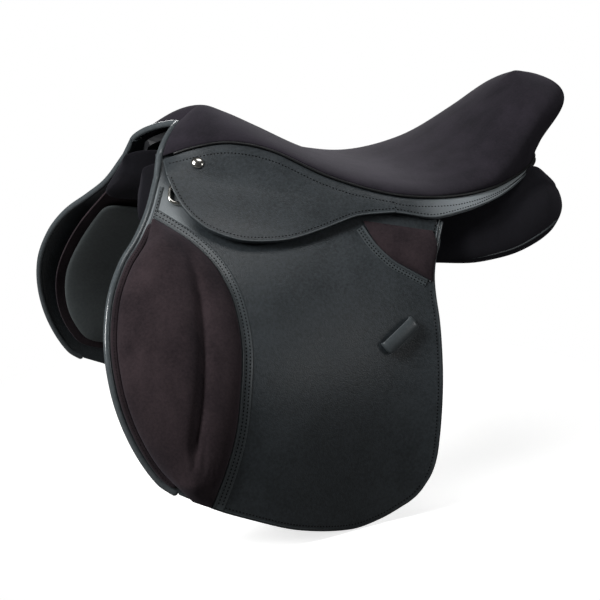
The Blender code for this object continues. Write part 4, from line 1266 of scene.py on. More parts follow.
@dataclass(frozen=True)
class Metal(Finish):
    """Metal: nickel plate, polished and faintly scratched, or steel as it left the press."""

    scratch: float = 0.06
    grit: float = 0.5 * MM
    stretch: float = 12.0

    def build(self) -> bpy.types.Material:
        """Make the material."""
        tree, shader, place = self.start()
        shader.inputs["Metallic"].default_value = 1.0
        lines = add(tree, "ShaderNodeMapping", {"Scale": (1.0, 1.0, self.stretch)}, {"Vector": place})
        marks = noise(tree, lines.outputs[0], 1 / self.grit, 4.0)
        span = {"To Min": max(self.roughness - 0.05, 0.05), "To Max": self.roughness + 0.12}
        gloss = add(tree, "ShaderNodeMapRange", span, {"Value": marks.outputs["Fac"]})
        tree.links.new(gloss.outputs[0], shader.inputs["Roughness"])
        emboss(tree, shader, marks.outputs["Fac"], self.scratch, 0.1 * MM)
        return bpy.data.materials[self.name]


@dataclass(frozen=True)
class Moulded(Finish):
    """Injection-moulded glass-filled nylon, with the fine spark texture of its mould."""

    texture: float = 0.6 * MM

    def build(self) -> bpy.types.Material:
        """Make the material."""
        tree, shader, place = self.start()
        spark = noise(tree, place, 1 / self.texture, 3.0)
        colour = self.mixed(tree, spark.outputs["Fac"], self.colour, "#2c2d30")
        tree.links.new(colour, shader.inputs["Base Color"])
        emboss(tree, shader, spark.outputs["Fac"], 0.3, 0.2 * MM)
        return bpy.data.materials[self.name]


class Finishes:
    """Every material of the saddle, each made once."""

    def __init__(self) -> None:
        """Make the materials."""
        # Brushed nap of the seat: warm black that turns greyish violet in the light
        self.seat = Suede("seat microfibre suede, brushed", "#18161b", 0.95,
                          light="#28242b", sheen=0.15).build()
        # The knee and thigh pads are of the same cloth in a browner lot
        self.pads = Suede("pad microfibre suede, brushed", "#241d20", 0.95,
                          light="#3a3033", sheen=0.12).build()
        # The panels are of a bluer, denser cloth
        self.panels = Suede("panel microfibre suede, brushed", "#101014", 0.95,
                            light="#18181d", sheen=0.16).build()
        # Flaps and skirts: embossed polyurethane, blue-grey black with a satin top coat
        leather = GrainedLeather("synthetic leather, pebble embossed", "#272c2f", 0.44, light="#363c40")
        self.grained = leather.build()
        # Painted highlight: the flap is painted paler beside the pommel, where the light falls, and the skirt along
        # its tail
        self.flap = replace(leather, name="synthetic leather, flap", painted_highlight=(-0.232, 0.034, 0.044),
                            pale="#7d8386").build()
        self.skirt = replace(leather, name="synthetic leather, skirt", painted_highlight=(0.150, 0.036, 0.130),
                             pale="#949b9f").build()
        # The leaf of the panel: the same sheet without its embossing, its grey painted lighter as painted light on the
        # far panel's inner face
        self.leaf = GrainedLeather("synthetic leather, unembossed", "#525859", 0.50, light="#5c6263",
                                   strength=0.15).build()
        # Turned and rolled strips: the same sheet, its grain pulled nearly flat
        self.smooth = GrainedLeather("synthetic leather, rolled smooth", "#42484b", 0.36, light="#4b5154",
                                     strength=0.2).build()
        # Piping: polyvinyl over a cord, with a wet-looking coat
        self.piping = GrainedLeather("piping vinyl, glossy", "#4b5154", 0.20,
                                     light="#565c5f", strength=0.10).build()
        # Linings and edge bindings: thin black vinyl
        self.black = GrainedLeather("lining vinyl, black", "#131415", 0.42,
                                    light="#1b1d1e", strength=0.25).build()
        # Girth straps: smooth calf-like sheet, semi-matt
        self.inner = GrainedLeather("lining leather, smooth", "#3a3f40", 0.50,
                                    light="#444a4b", strength=0.15).build()
        self.thread = Thread("bonded nylon thread", "#060607", 0.70).build()
        self.webbing = Webbing("woven polypropylene webbing", "#2e2f31", 0.85).build()
        self.nickel = Metal("nickel plate, polished", "#cfcdc6", 0.16).build()
        self.steel = Metal("steel, brushed", "#8f9091", 0.30, scratch=0.15).build()
        self.tree = Moulded("nylon, moulded", "#1b1c1e", 0.55).build()


# Outlines of the leaves, as (x, z) places on the side


@dataclass(frozen=True)
class Outlines:
    """The curves that bound the flap, the skirt and the pads."""

    # Where the piping of the arch and the piping of the flap overlap at the fold
    fold_tip: tuple[Pair, ...] = ((-0.2225, 0.0650), (-0.2242, 0.0618))
    flap_front: tuple[Pair, ...] = (
        (-0.2225, 0.0645), (-0.239, 0.034), (-0.257, 0.013), (-0.277, -0.006), (-0.293, -0.031),
        (-0.303, -0.063), (-0.305, -0.093), (-0.300, -0.130), (-0.287, -0.168), (-0.267, -0.202),
        (-0.250, -0.216),
    )
    flap_bottom: tuple[Pair, ...] = (
        (-0.250, -0.216), (-0.218, -0.2315), (-0.182, -0.2465), (-0.129, -0.268), (-0.069, -0.282),
        (-0.033, -0.279), (-0.003, -0.269), (0.009, -0.2625), (0.0165, -0.2555), (0.0215, -0.249),
    )
    flap_rear: tuple[Pair, ...] = (
        (0.0650, 0.0173), (0.0565, -0.003), (0.0495, -0.0195), (0.0448, -0.038), (0.0437, -0.056),
        (0.0442, -0.080), (0.0425, -0.130), (0.0395, -0.170), (0.035, -0.213), (0.0315, -0.2295),
        (0.0265, -0.2415), (0.0215, -0.249),
    )
    skirt_front: tuple[Pair, ...] = ((-0.213, 0.0625), (-0.210, 0.050), (-0.2055, 0.036), (-0.1985, 0.0235))
    skirt_bottom: tuple[Pair, ...] = (
        (-0.1985, 0.0235), (-0.1855, 0.012), (-0.160, 0.002), (-0.135, -0.001), (-0.103, 0.000),
        (-0.070, 0.008), (-0.047, 0.015), (-0.026, 0.0205), (0.010, 0.0225),
    )
    knee_rear: tuple[Pair, ...] = (
        (-0.2350, 0.0266), (-0.2208, 0.0173), (-0.2045, 0.0052), (-0.1912, -0.0090), (-0.1833, -0.0239),
        (-0.1780, -0.0460), (-0.1785, -0.0800), (-0.186, -0.119), (-0.193, -0.154),
        (-0.203, -0.187), (-0.219, -0.2295),
    )
    knee_crease: tuple[Pair, ...] = (
        (-0.218, 0.000), (-0.211, -0.019), (-0.212, -0.056), (-0.220, -0.110), (-0.228, -0.152),
        (-0.238, -0.194),
    )
    thigh_front: tuple[Pair, ...] = (
        (-0.021, 0.014), (-0.011, -0.004), (0.004, -0.020), (0.024, -0.032), (0.037, -0.0395),
    )


LINES = Outlines()
FLAP_THICK = 0.0040
SKIRT_THICK = 0.0032
SKIRT_OUT = FLAP_THICK + 0.0062 + SKIRT_THICK
TAIL_FROM = 0.0125
TAIL_TO = 0.205


# Sub-assemblies


@dataclass
class SeatPart:
    """The stuffed seat, with the welt round its edge, and the rolled edge of the arch."""

    columns: int = 132
    rows: int = 72
    cover_thick: float = 0.0020
    welt: float = 0.0013
    welt_drop: float = 0.0016
    arch: float = 0.0036
    arch_gap: float = 0.0007
    binding: float = 0.0040
    binding_drop: float = 0.0026

    def arch_line(self) -> list[Vector]:
        """Centre line of the piping round the arch, from the near side's fold to the off side's."""
        feet = [SIDE.point(x, z, FLAP_THICK / 2) for x, z in LINES.fold_tip]
        points = [Vector((foot.x, -foot.y, foot.z)) for foot in reversed(feet)]
        for i in range(19):
            t = i / 9 - 1
            tip = SEAT.top(0.0, t)
            ahead = (tip - SEAT.top(0.03, t)).normalized()
            across = SEAT.top(0.0, min(t + 0.02, 1.0)) - SEAT.top(0.0, max(t - 0.02, -1.0))
            out = ahead.cross(across).normalized()
            out = out if out.z > 0.0 else -out
            points.append(tip - out * self.cover_thick / 2 + ahead * (self.arch + self.arch_gap))
        return [*points, *feet]

    def welt_line(self) -> list[Vector]:
        """Centre line of the welt, from the near side of the arch round the cantle to the off side."""
        rim = Stations(SEAT.edge)
        points = [rim(i / 36) - Vector((0.0, 0.0, self.welt_drop)) for i in range(1, 37)]
        return [Vector((p.x, -p.y, p.z)) for p in points[:-1]] + list(reversed(points))

    def binding_line(self) -> list[Vector]:
        """Centre line of the binding under the rear edge of the seat."""
        rim, points = Stations(SEAT.edge), []
        for i in range(101):
            share = i / 100
            edge = rim(share)
            if edge.x > TAIL_TO + self.binding / 2:
                back = ease((share - 0.85) / 0.15)
                points.append(edge - Vector((self.binding * back, self.binding * (1 - back),
                                             self.binding_drop + self.binding)))
        return [Vector((p.x, -p.y, p.z)) for p in points[:-1]] + list(reversed(points))

    def build(self, finishes: Finishes) -> None:
        """Build the seat and its edges.

        Args:
            finishes: the materials.
        """
        seat = surface("seat", self.columns, self.rows, lambda u, v: SEAT.top(u, 2 * v - 1), (0.0, 0.0, 1.0))
        with editing(seat):
            bpy.ops.mesh.remove_doubles(threshold=1e-5)
        thicken(seat, self.cover_thick)
        shade(seat, finishes.seat)
        Piece(seat, "saddle", ("seat_cover",), "seat_cover", 0.9).fit(Hand.NEAR)
        core = shade(refined("seat_core", "seat_foam", levels=1), finishes.panels, 60.0)
        Piece(core, "saddle", ("seat_foam",), "seat_foam", 0.9).fit(Hand.NEAR)
        for name, node, line, radius, finish in (
            ("arch_piping", "pommel_piping", self.arch_line(), self.arch, finishes.piping),
            ("seat_edge_welt", "seat_welt", self.welt_line(), self.welt, finishes.black),
            ("cantle_edge_binding", "cantle_binding", self.binding_line(), self.binding, finishes.black),
        ):
            roll = cord(name, line, radius, 200)
            Piece(shade(roll, finish, 60.0), "saddle", (node,), node).fit(Hand.NEAR)


@dataclass
class FlapPart:
    """The flap: leather from the tree down to its free edge, with its piping and strips."""

    columns: int = 76
    rows: int = 72
    root_rows: int = 8
    root_front: float = -0.2185
    root_drop: float = 0.0015
    notch: Pair = (-0.140, -0.038)
    notch_rise: float = 0.009
    piping: float = 0.0036
    thin_piping: float = 0.0022
    bend_above: float = 0.012
    edge_roll: float = 0.0021
    stitch_in: float = 0.0052
    band: float = 0.0118
    band_height: float = 0.0009
    band_gap: float = 0.0004
    thigh_band: float = 0.75
    lip: float = 0.0026
    lip_height: float = 0.0022
    knee_rows: Pair = (0.0052, 0.0090)
    thigh_rows: Pair = (0.0046, 0.0074)
    front_strip: Pair = (0.0044, 0.0012)
    front_strip_in: float = 0.0063
    front_row_in: float = 0.0066
    keeper_place: Pair = (-0.003, -0.0915)
    keeper_lean: float = -50.0
    keeper_size: tuple[float, float, float] = (0.044, 0.0145, 0.0020)
    keeper_room: float = 0.0045

    def place(self, u: float, v: float) -> Vector:
        """Place of the flap's leather, from its top at the tree to its free edge.

        Args:
            u: share from the front to the rear.
            v: share from the top down.

        Returns:
            x and z on the side.
        """
        root = self.root_rows / self.rows
        if v >= root:
            return self.leaf(u, (v - root) / (1 - root))
        t = v / root
        fold = self.leaf(u, 0.0)
        top_x = lerp(self.root_front, SIDE.fold_rear[0], u)
        x = lerp(top_x, fold.x, t)
        shelf = SIDE.fold_z(x) + self.notch_rise
        if t < 0.5:
            return Vector((x, lerp(SEAT.edge_over(x).z - self.root_drop, shelf, 2 * t)))
        return Vector((x, lerp(shelf, SIDE.fold_z(x), 2 * t - 1)))

    def __post_init__(self) -> None:
        """Lay out the leaf below the fold."""
        front = Course(LINES.flap_front).moved(self.piping * 0.55, 40)
        front[0] = SIDE.under_fold(front[0].x + 0.0014, 0.0)
        bottom = [front[-1], *[Vector(p) for p in LINES.flap_bottom[1:]]]
        rear = [SIDE.under_fold(SIDE.fold_rear[0], 0.0), *[Vector(p) for p in LINES.flap_rear[1:]]]
        self.leaf = leaf_shape([front[0], (front[0] + rear[0]) / 2, rear[0]], rear, bottom, front)

    def in_notch(self, u: float, v: float) -> bool:
        """Whether a place lies in the notch through which the stirrup bar stands out."""
        x = lerp(self.root_front, SIDE.fold_rear[0], u)
        return v < 0.5 * self.root_rows / self.rows and self.notch[0] < x < self.notch[1]

    def leather(self, finishes: Finishes) -> Piece:
        """The flap's leather, which bends above the fold line.

        Args:
            finishes: the materials.

        Returns:
            The piece.
        """
        def at(u: float, v: float) -> Vector:
            """Point of the outer face."""
            spot = self.place(u, v)
            return SIDE.point(spot.x, spot.y, FLAP_THICK)

        obj = surface("flap_leather_off", self.columns, self.rows, at, (0.0, 1.0, 0.2), self.in_notch)
        thicken(obj, FLAP_THICK)
        shade(obj, finishes.flap)
        return Piece(obj, "saddle", ("flap_root_{hand}", "flap_{hand}"), "flap_{hand}",
                     bend=("lifting_flap_{hand}", *SIDE.bend(self.bend_above, 0.0)))

    def roll(self, name: str, line: Course, radius: float, share: Pair,
             finish: bpy.types.Material) -> Piece:
        """Piping in the middle of the edge of the leather."""
        places = [line(lerp(share[0], share[1], i / 100)) for i in range(101)]
        points = [SIDE.point(place.x, place.y, FLAP_THICK / 2) for place in places]
        obj = shade(cord(f"{name}_roll_off", points, radius, 180), finish, 60.0)
        return Piece(obj, "lifting_flap_{hand}", (f"{name}_{{hand}}",), f"{name}_{{hand}}")

    def keeper(self, finishes: Finishes) -> Piece:
        """Slanted loop of leather that the end of a stirrup leather is tucked through.

        Args:
            finishes: the materials.

        Returns:
            The piece.
        """
        length, width, thick = self.keeper_size
        axes = SIDE.axes(*self.keeper_place, math.radians(self.keeper_lean))
        base = SIDE.point(*self.keeper_place, FLAP_THICK + 0.0012)
        half, rise = length / 2, self.keeper_room + thick / 2
        steps = ((-half + 0.0016, 0.0), (-half + 0.0012, rise * 0.5), (-half + 0.0016, rise * 0.86),
                 (-half + 0.0034, rise), (-half + 0.008, rise + 0.0003), (0.0, rise + 0.0006))
        steps += tuple((-a, b) for a, b in reversed(steps[:-1]))
        path = Course(steps)
        run = []
        for i in range(61):
            at, ahead = path(i / 60), path(min(i / 60 + 0.01, 1.0)) - path(max(i / 60 - 0.01, 0.0))
            out = (axes[2] * ahead.x - axes[0] * ahead.y).normalized()
            run.append((base + axes[0] * at.x + axes[2] * at.y, out))
        edge = thick * 0.35
        section = [(a * (width / 2 - c), b * (thick / 2 - d)) for a, b, c, d in (
            (1, -1, edge, 0), (1, -1, 0, edge), (1, 1, 0, edge), (1, 1, edge, 0), (0, 1.25, 0, 0),
            (-1, 1, edge, 0), (-1, 1, 0, edge), (-1, -1, 0, edge), (-1, -1, edge, 0))]
        strap = sweep("keeper_loop_off", run, section)
        return Piece(shade(strap, finishes.smooth, 50.0), "lifting_flap_{hand}", ("flap_keeper_{hand}",),
                     "flap_keeper_{hand}")

    def strips(self, finishes: Finishes) -> list[Piece]:
        """Piping, stitched bands and keeper of the flap.

        Args:
            finishes: the materials.

        Returns:
            The pieces.
        """
        edge = Course([(-0.2209, 0.0680), LINES.fold_tip[0], *LINES.flap_front[1:]])
        inside = Course(Course(LINES.flap_rear[:5]).moved(-(self.thin_piping + 0.0003), 8))
        pieces = [self.roll("flap_piping", edge, self.piping, (0.0, 1.0), finishes.piping),
                  self.roll("thigh_piping", inside, self.thin_piping, (0.03, 0.78), finishes.piping),
                  self.keeper(finishes)]
        rear = Course(LINES.flap_rear).moved(-self.edge_roll, 60, (0.26, 1.0))
        low = [*Course(LINES.flap_bottom).moved(self.edge_roll, 70, (0.0, 0.985)), *reversed(rear[:-2])]
        points = [SIDE.point(place.x, place.y, FLAP_THICK / 2) for place in low]
        edging = shade(cord("flap_edge_roll_off", points, self.edge_roll, 240, 10), finishes.smooth, 60.0)
        pieces.append(Piece(edging, "lifting_flap_{hand}"))
        flange = Course(LINES.flap_rear).moved(-(2 * self.thin_piping + 0.0008), 40, (0.01, 0.235))
        bead = sweep("thigh_piping_flange_off", SIDE.run_over(flange, FLAP_THICK), half_round(0.0016, 0.0009))
        pieces.append(Piece(shade(bead, finishes.piping, 60.0), "lifting_flap_{hand}"))
        for name, line, side, width in (("knee", LINES.knee_rear, 1.0, self.band),
                                        ("thigh", LINES.thigh_front, -1.0, self.band * self.thigh_band)):
            course = Course(line)
            flat = SIDE.run_over(course.moved(side * (width / 2 + self.band_gap), 90), FLAP_THICK)
            strip = sweep(f"{name}_band_off", flat, half_round(width, self.band_height, steps=12))
            lip = SIDE.run_over(course.moved(side * (self.lip / 2 + self.band_gap), 90), FLAP_THICK)
            roll = sweep(f"{name}_lip_off", lip, half_round(self.lip, self.lip_height))
            both = joined(f"{name}_pad_band_off", [strip, roll])
            pieces.append(Piece(shade(both, finishes.smooth, 50.0), "lifting_flap_{hand}"))
        front = Course(LINES.flap_front).moved(self.front_strip_in, 24, (0.02, 0.140))
        strip = sweep("front_strip_off", SIDE.run_over(front, FLAP_THICK), half_round(*self.front_strip))
        pieces.append(Piece(shade(strip, finishes.smooth, 50.0), "lifting_flap_{hand}"))
        return pieces

    def stitches(self, finishes: Finishes) -> list[Piece]:
        """Rows of stitches on the flap.

        Args:
            finishes: the materials.

        Returns:
            The pieces.
        """
        rear = Course(LINES.flap_rear).moved(-self.stitch_in, 90, (0.26, 0.985))
        bottom = Course(LINES.flap_bottom).moved(self.stitch_in, 60, (0.0, 0.985))
        front = Course(LINES.flap_front).moved(self.front_row_in, 20, (0.03, 0.135))
        rows = [SIDE.run_over(list(reversed(bottom)), FLAP_THICK), SIDE.run_over(rear, FLAP_THICK),
                SIDE.run_over(front, FLAP_THICK + 0.0011)]
        knee, thigh = Course(LINES.knee_rear), Course(LINES.thigh_front)
        on_band = FLAP_THICK + self.band_height
        rows += [SIDE.run_over(knee.moved(offset, 90, (0.0, 0.985)), on_band) for offset in self.knee_rows]
        rows += [SIDE.run_over(thigh.moved(-offset, 30), on_band) for offset in self.thigh_rows]
        piping = Course(LINES.flap_rear).moved(-(2 * self.thin_piping + 0.0036), 20, (0.03, 0.235))
        rows.append(SIDE.run_over(piping, FLAP_THICK + 0.0002))
        return [Piece(Stitching().rows("flap_stitching_off", rows, finishes.thread), "lifting_flap_{hand}")]


@dataclass
class PadsPart:
    """The knee pad and the thigh pad, stuffed with foam and covered with suede."""

    gap: float = 0.0004
    knee_crown: float = 0.0165
    knee_edge: float = 0.0026
    crease_depth: float = 0.0095
    crease_width: float = 0.0058
    rand: float = 0.0066
    rand_in: float = 0.0032
    thigh_crown: float = 0.0055
    thigh_gap: float = 0.0006
    thigh_edge: float = 0.001
    rand_height: float = 0.0030
    stitch_in: float = 0.0030

    def face(self, shape: Callable[[float, float], Vector], gap: float,
             level: Callable[[float, float], float]) -> Place:
        """A face of a pad: a shape laid on the flap, raised by a gap and a level."""
        def place(u: float, v: float) -> Vector:
            """Point of the face."""
            spot = shape(u, v)
            return SIDE.point(spot.x, spot.y, FLAP_THICK + gap + level(u, v))
        return place

    def knee(self, finishes: Finishes) -> list[Piece]:
        """The knee pad and the narrow roll along its front.

        Args:
            finishes: the materials.

        Returns:
            The pieces.
        """
        outline = Course(LINES.flap_front)
        front = outline.moved(self.rand_in + self.rand - 0.0004, 24, (0.15, 0.985))
        front[0] = Vector((-0.2375, 0.0255))
        front[-1] = Vector((-0.236, -0.2225))
        rear = [Vector(p) for p in LINES.knee_rear]
        shape = leaf_shape([front[0], rear[0]], rear, [front[-1], rear[-1]], front)
        line = Course(LINES.knee_crease)
        crease = [line(i / 60) for i in range(61)]

        def valley(spot: Vector) -> float:
            """Share of the crease's depth at a place, whose two ends run out."""
            near = min(range(len(crease)), key=lambda i: (crease[i] - spot).length_squared)
            away = (crease[near] - spot).length / self.crease_width
            ends = ease(near / 16) * ease((len(crease) - 1 - near) / 12)
            return math.exp(-away**1.25) * (0.1 + 0.9 * ends)

        def crown(u: float, v: float) -> float:
            """Height of the pad's face, with a full front roll and a flatter rear one."""
            across = max(1.0 - abs(2 * u - 1) ** 2.2, 0.0) ** 0.68
            down = ease(min(1.0, 5.5 * v + 0.1, 8.0 * (1 - v) + 0.1))
            full = lerp(1.0, 0.80, ease((u - 0.35) / 0.5))
            ripple = 0.0004 * math.sin(21 * v + 8 * u) * math.sin(7 * u + 3 * v) * across * down
            return (self.knee_edge + self.knee_crown * full * across * down
                    - self.crease_depth * valley(shape(u, v)) * across * down + ripple)

        faces = [self.face(shape, self.gap, level) for level in (crown, lambda u, v: 0.0)]
        obj = pad("knee_cushion_off", 60, 84, *faces, (0.0, 1.0, 0.0))
        Stuffing(cap=0.9 * MM).fill(obj, self.on_flap)
        apply(obj, "BEVEL", width=0.0009, segments=2, limit_method="ANGLE", angle_limit=math.radians(60.0))
        shade(obj, finishes.pads, 50.0)
        middle = outline.moved(self.rand_in + self.rand / 2, 110, (0.13, 0.988))
        section = half_round(self.rand, self.rand_height)
        roll = sweep("knee_rand_off", SIDE.run_over(middle, FLAP_THICK), section,
                     taper=0.010)
        shade(roll, finishes.pads, 60.0)
        row = outline.moved(self.rand_in + self.stitch_in, 110, (0.15, 0.965))
        fine = Stitching(pitch=3.0 * MM, length=1.8 * MM, width=0.8 * MM)
        thread = fine.rows("knee_stitching_off", [SIDE.run_over(row, FLAP_THICK + self.rand_height)],
                           finishes.thread)
        return [Piece(obj, "lifting_flap_{hand}", ("knee_pad_{hand}",), "knee_pad_{hand}", 0.8),
                Piece(roll, "lifting_flap_{hand}"), Piece(thread, "lifting_flap_{hand}")]

    def on_flap(self, point: Vector) -> bool:
        """Whether a point of a pad lies on the flap or near it."""
        out = (point.y - SIDE.half_width(point.x, point.z)) * SIDE.normal(point.x, point.z).y
        return out < FLAP_THICK + self.gap + self.knee_edge

    def thigh(self, finishes: Finishes) -> list[Piece]:
        """The thigh pad.

        Args:
            finishes: the materials.

        Returns:
            The pieces.
        """
        top = SIDE.along_fold(-0.021, 0.050, 0.013)
        rear = [top[-1], Vector((0.0520, -0.008)), Vector((0.0448, -0.030)), Vector((0.0415, -0.0425))]
        front = [top[0], *[Vector(p) for p in LINES.thigh_front[1:]]]
        shape = leaf_shape(top, rear, [front[-1], rear[-1]], front)

        def crown(u: float, v: float) -> float:
            """Height of the thigh pad's face."""
            across = max(1.0 - (2 * u - 1) ** 2, 0.0) ** 0.7
            down = max(1.0 - (2 * v - 1) ** 2, 0.0) ** 0.7
            return self.thigh_edge + self.thigh_crown * across * down

        faces = [self.face(shape, self.thigh_gap, level) for level in (crown, lambda u, v: 0.0)]
        obj = pad("thigh_cushion_off", 30, 26, *faces, (0.0, 1.0, 0.0))
        Stuffing(cap=0.5 * MM).fill(obj, self.on_flap)
        shade(obj, finishes.pads, 60.0)
        return [Piece(obj, "lifting_flap_{hand}", ("thigh_pad_{hand}",), "thigh_pad_{hand}", 0.7)]


@dataclass
class SkirtPart:
    """The skirt over the stirrup bar: its fixed top with the tail, and its lifting lobe."""

    front: float = -0.213
    top_drop: float = 0.0038
    tail_depth: tuple[Pair, ...] = (
        (0.012, 0.0255), (0.051, 0.0205), (0.082, 0.0165), (0.133, 0.0132), (0.168, 0.0100), (0.205, 0.005),
    )
    tail_out: tuple[Pair, ...] = (
        (0.012, 0.011), (0.056, 0.0155), (0.090, 0.012), (0.133, 0.006), (0.168, 0.004), (0.205, 0.002),
    )
    shelf: int = 66
    tail: int = 54
    stitch_top: float = 0.0090
    stitch_in: float = 0.0036
    bead: Pair = (0.0016, 0.0006)
    bead_in: float = 0.0006
    bend_above: float = 0.012
    bend_below: float = 0.012

    def foot(self, x: float, level: float) -> Vector:
        """Lower edge of the fixed part, on a face at a level.

        Args:
            x: place along the saddle.
            level: distance out from the inner face of the flap.

        Returns:
            The point.
        """
        if x <= TAIL_FROM:
            return SIDE.point(x, SIDE.fold_z(x), level)
        rim = SEAT.edge_over(x)
        z = rim.z - graph(self.tail_depth, x)
        inwards = SKIRT_OUT - level
        free = Vector((x, rim.y + graph(self.tail_out, x) - inwards * 0.9, z + inwards * 0.4))
        fixed = SIDE.point(min(x, SIDE.fold_rear[0]), z, level)
        return fixed.lerp(free, ease((x - TAIL_FROM) / (SIDE.fold_rear[0] - TAIL_FROM)))

    def upper(self, x: float, v: float, level: float = SKIRT_OUT) -> Vector:
        """Point of the fixed part, from the welt down."""
        rim = SEAT.edge_over(x)
        top = Vector((x, rim.y - (SKIRT_OUT - level), rim.z - self.top_drop))
        foot = self.foot(x, level)
        fall = foot - top
        # It meets the lobe below it with the lobe's own slope
        along = min(x, TAIL_FROM)
        low = SIDE.fold_z(along)
        slope = (SIDE.point(along, low - 0.004, level) - SIDE.point(along, low + 0.001, level)).normalized()
        slope = (slope * fall.length).lerp(fall, ease((x - TAIL_FROM) / 0.05))
        return hermite(top, foot, fall * 2 - slope if fall.length < 0.02 else fall, slope, v)

    def out(self, x: float, v: float) -> Vector:
        """Direction out from the fixed part."""
        along = self.upper(x + 0.002, v) - self.upper(x - 0.002, v)
        down = self.upper(x, 1.0) - self.upper(x, 0.0)
        out = along.cross(down).normalized()
        return out if out.y > 0.0 else -out

    def row(self, first: float, last: float, drop: float, from_foot: bool = False, count: int = 90) -> Run:
        """Run along the fixed part at a distance from its top or its foot.

        Args:
            first: where the run starts along the saddle.
            last: where it ends.
            drop: distance from the edge.
            from_foot: whether that is the lower edge.
            count: number of points.

        Returns:
            The run.
        """
        run = []
        for i in range(count):
            x = lerp(first, last, i / (count - 1))
            depth = (self.upper(x, 1.0) - self.upper(x, 0.0)).length
            v = min(drop / depth, 0.48)
            v = 1.0 - v if from_foot else v
            run.append((self.upper(x, v), self.out(x, v)))
        return run

    def build(self, finishes: Finishes) -> list[Piece]:
        """The skirt's leather and stitches, and the nail at its front corner.

        Args:
            finishes: the materials.

        Returns:
            The pieces.
        """
        whole = self.shelf + self.tail

        def along(u: float) -> float:
            """Place along the saddle of a column."""
            at = u * whole
            if at <= self.shelf:
                return lerp(self.front, TAIL_FROM, at / self.shelf)
            return lerp(TAIL_FROM + 0.0002, TAIL_TO, (at - self.shelf - 1) / (self.tail - 1))

        top = surface("skirt_leather_off", whole, 12, lambda u, v: self.upper(along(u), v), (0.0, 1.0, 0.5))
        thicken(top, SKIRT_THICK, Edge.RAW)
        shade(top, finishes.skirt, 50.0)
        bend = ("lifting_flap_{hand}", *SIDE.bend(self.bend_above, 0.0))
        pieces = [Piece(top, "saddle", ("skirt_{hand}",), "skirt_{hand}", bend=bend)]

        front = [SIDE.under_fold(self.front, 0.0), *[Vector(p) for p in LINES.skirt_front[1:]]]
        bottom = [*LINES.skirt_bottom[:-1], (TAIL_FROM, LINES.skirt_bottom[-1][1])]
        crease = SIDE.along_fold(front[0].x, TAIL_FROM, 0.0)
        shape = leaf_shape(crease, [crease[-1], Vector(bottom[-1])], bottom, front)

        def at(u: float, v: float) -> Vector:
            """Point of the lobe's outer face."""
            spot = shape(u, v)
            return SIDE.point(spot.x, spot.y, SKIRT_OUT)

        lobe = surface("skirt_lobe_leather_off", self.shelf, 22, at, (0.0, 1.0, 0.2))
        thicken(lobe, SKIRT_THICK, Edge.RAW)
        shade(lobe, finishes.skirt, 50.0)
        fall = ("lifting_skirt_{hand}", *SIDE.bend(0.0, self.bend_below))
        pieces.append(Piece(lobe, "lifting_flap_{hand}", ("skirt_lobe_{hand}",), "skirt_lobe_{hand}",
                            bend=fall))

        side = [self.upper(self.front, v) for v in (0.10, 0.3, 0.5, 0.7, 0.85, 1.0)]
        run = [(p, self.out(self.front, 0.5)) for p in side]
        rim = [(p + Vector((self.bead_in, 0.0, 0.0)), out) for p, out in run]
        tail = self.row(TAIL_FROM, TAIL_TO, self.bead_in, from_foot=True)
        line = [sweep(f"edge_{i}", edge, half_round(*self.bead)) for i, edge in enumerate((rim, tail))]
        edge = shade(joined("skirt_edge_roll_off", line), finishes.smooth, 60.0)
        pieces.append(Piece(edge, "saddle", bend=bend))
        low = Course(front).moved(self.bead_in, 16, (0.02, 0.985))
        low += Course(bottom).moved(self.bead_in, 90, (0.01, 1.0))
        edge = sweep("skirt_lobe_edge_roll_off", SIDE.run_over(low, SKIRT_OUT), half_round(*self.bead))
        pieces.append(Piece(shade(edge, finishes.smooth, 60.0), "lifting_flap_{hand}", bend=fall))

        rows = [self.row(self.front + 0.004, TAIL_TO - 0.012, self.stitch_top),
                self.row(TAIL_FROM, TAIL_TO - 0.008, self.stitch_in, from_foot=True),
                [(p + Vector((self.stitch_in, 0.0, 0.0)), out) for p, out in run]]
        thread = Stitching().rows("skirt_stitching_off", rows, finishes.thread)
        pieces.append(Piece(thread, "saddle", bend=bend))
        edge = Course(front).moved(self.stitch_in, 16, (0.04, 0.93))
        edge += Course(bottom).moved(self.stitch_in, 90, (0.02, 1.0))
        row = SIDE.run_over(edge, SKIRT_OUT)
        thread = Stitching().rows("skirt_lobe_stitching_off", [row], finishes.thread)
        pieces.append(Piece(thread, "lifting_flap_{hand}", bend=fall))

        nail = refined("domed_nail_off", "saddle_nail_off", bevel=0.0003)
        pieces.append(Piece(shade(nail, finishes.nickel, 50.0), "saddle", ("saddle_nail_{hand}",),
                            "saddle_nail_{hand}"))
        return pieces


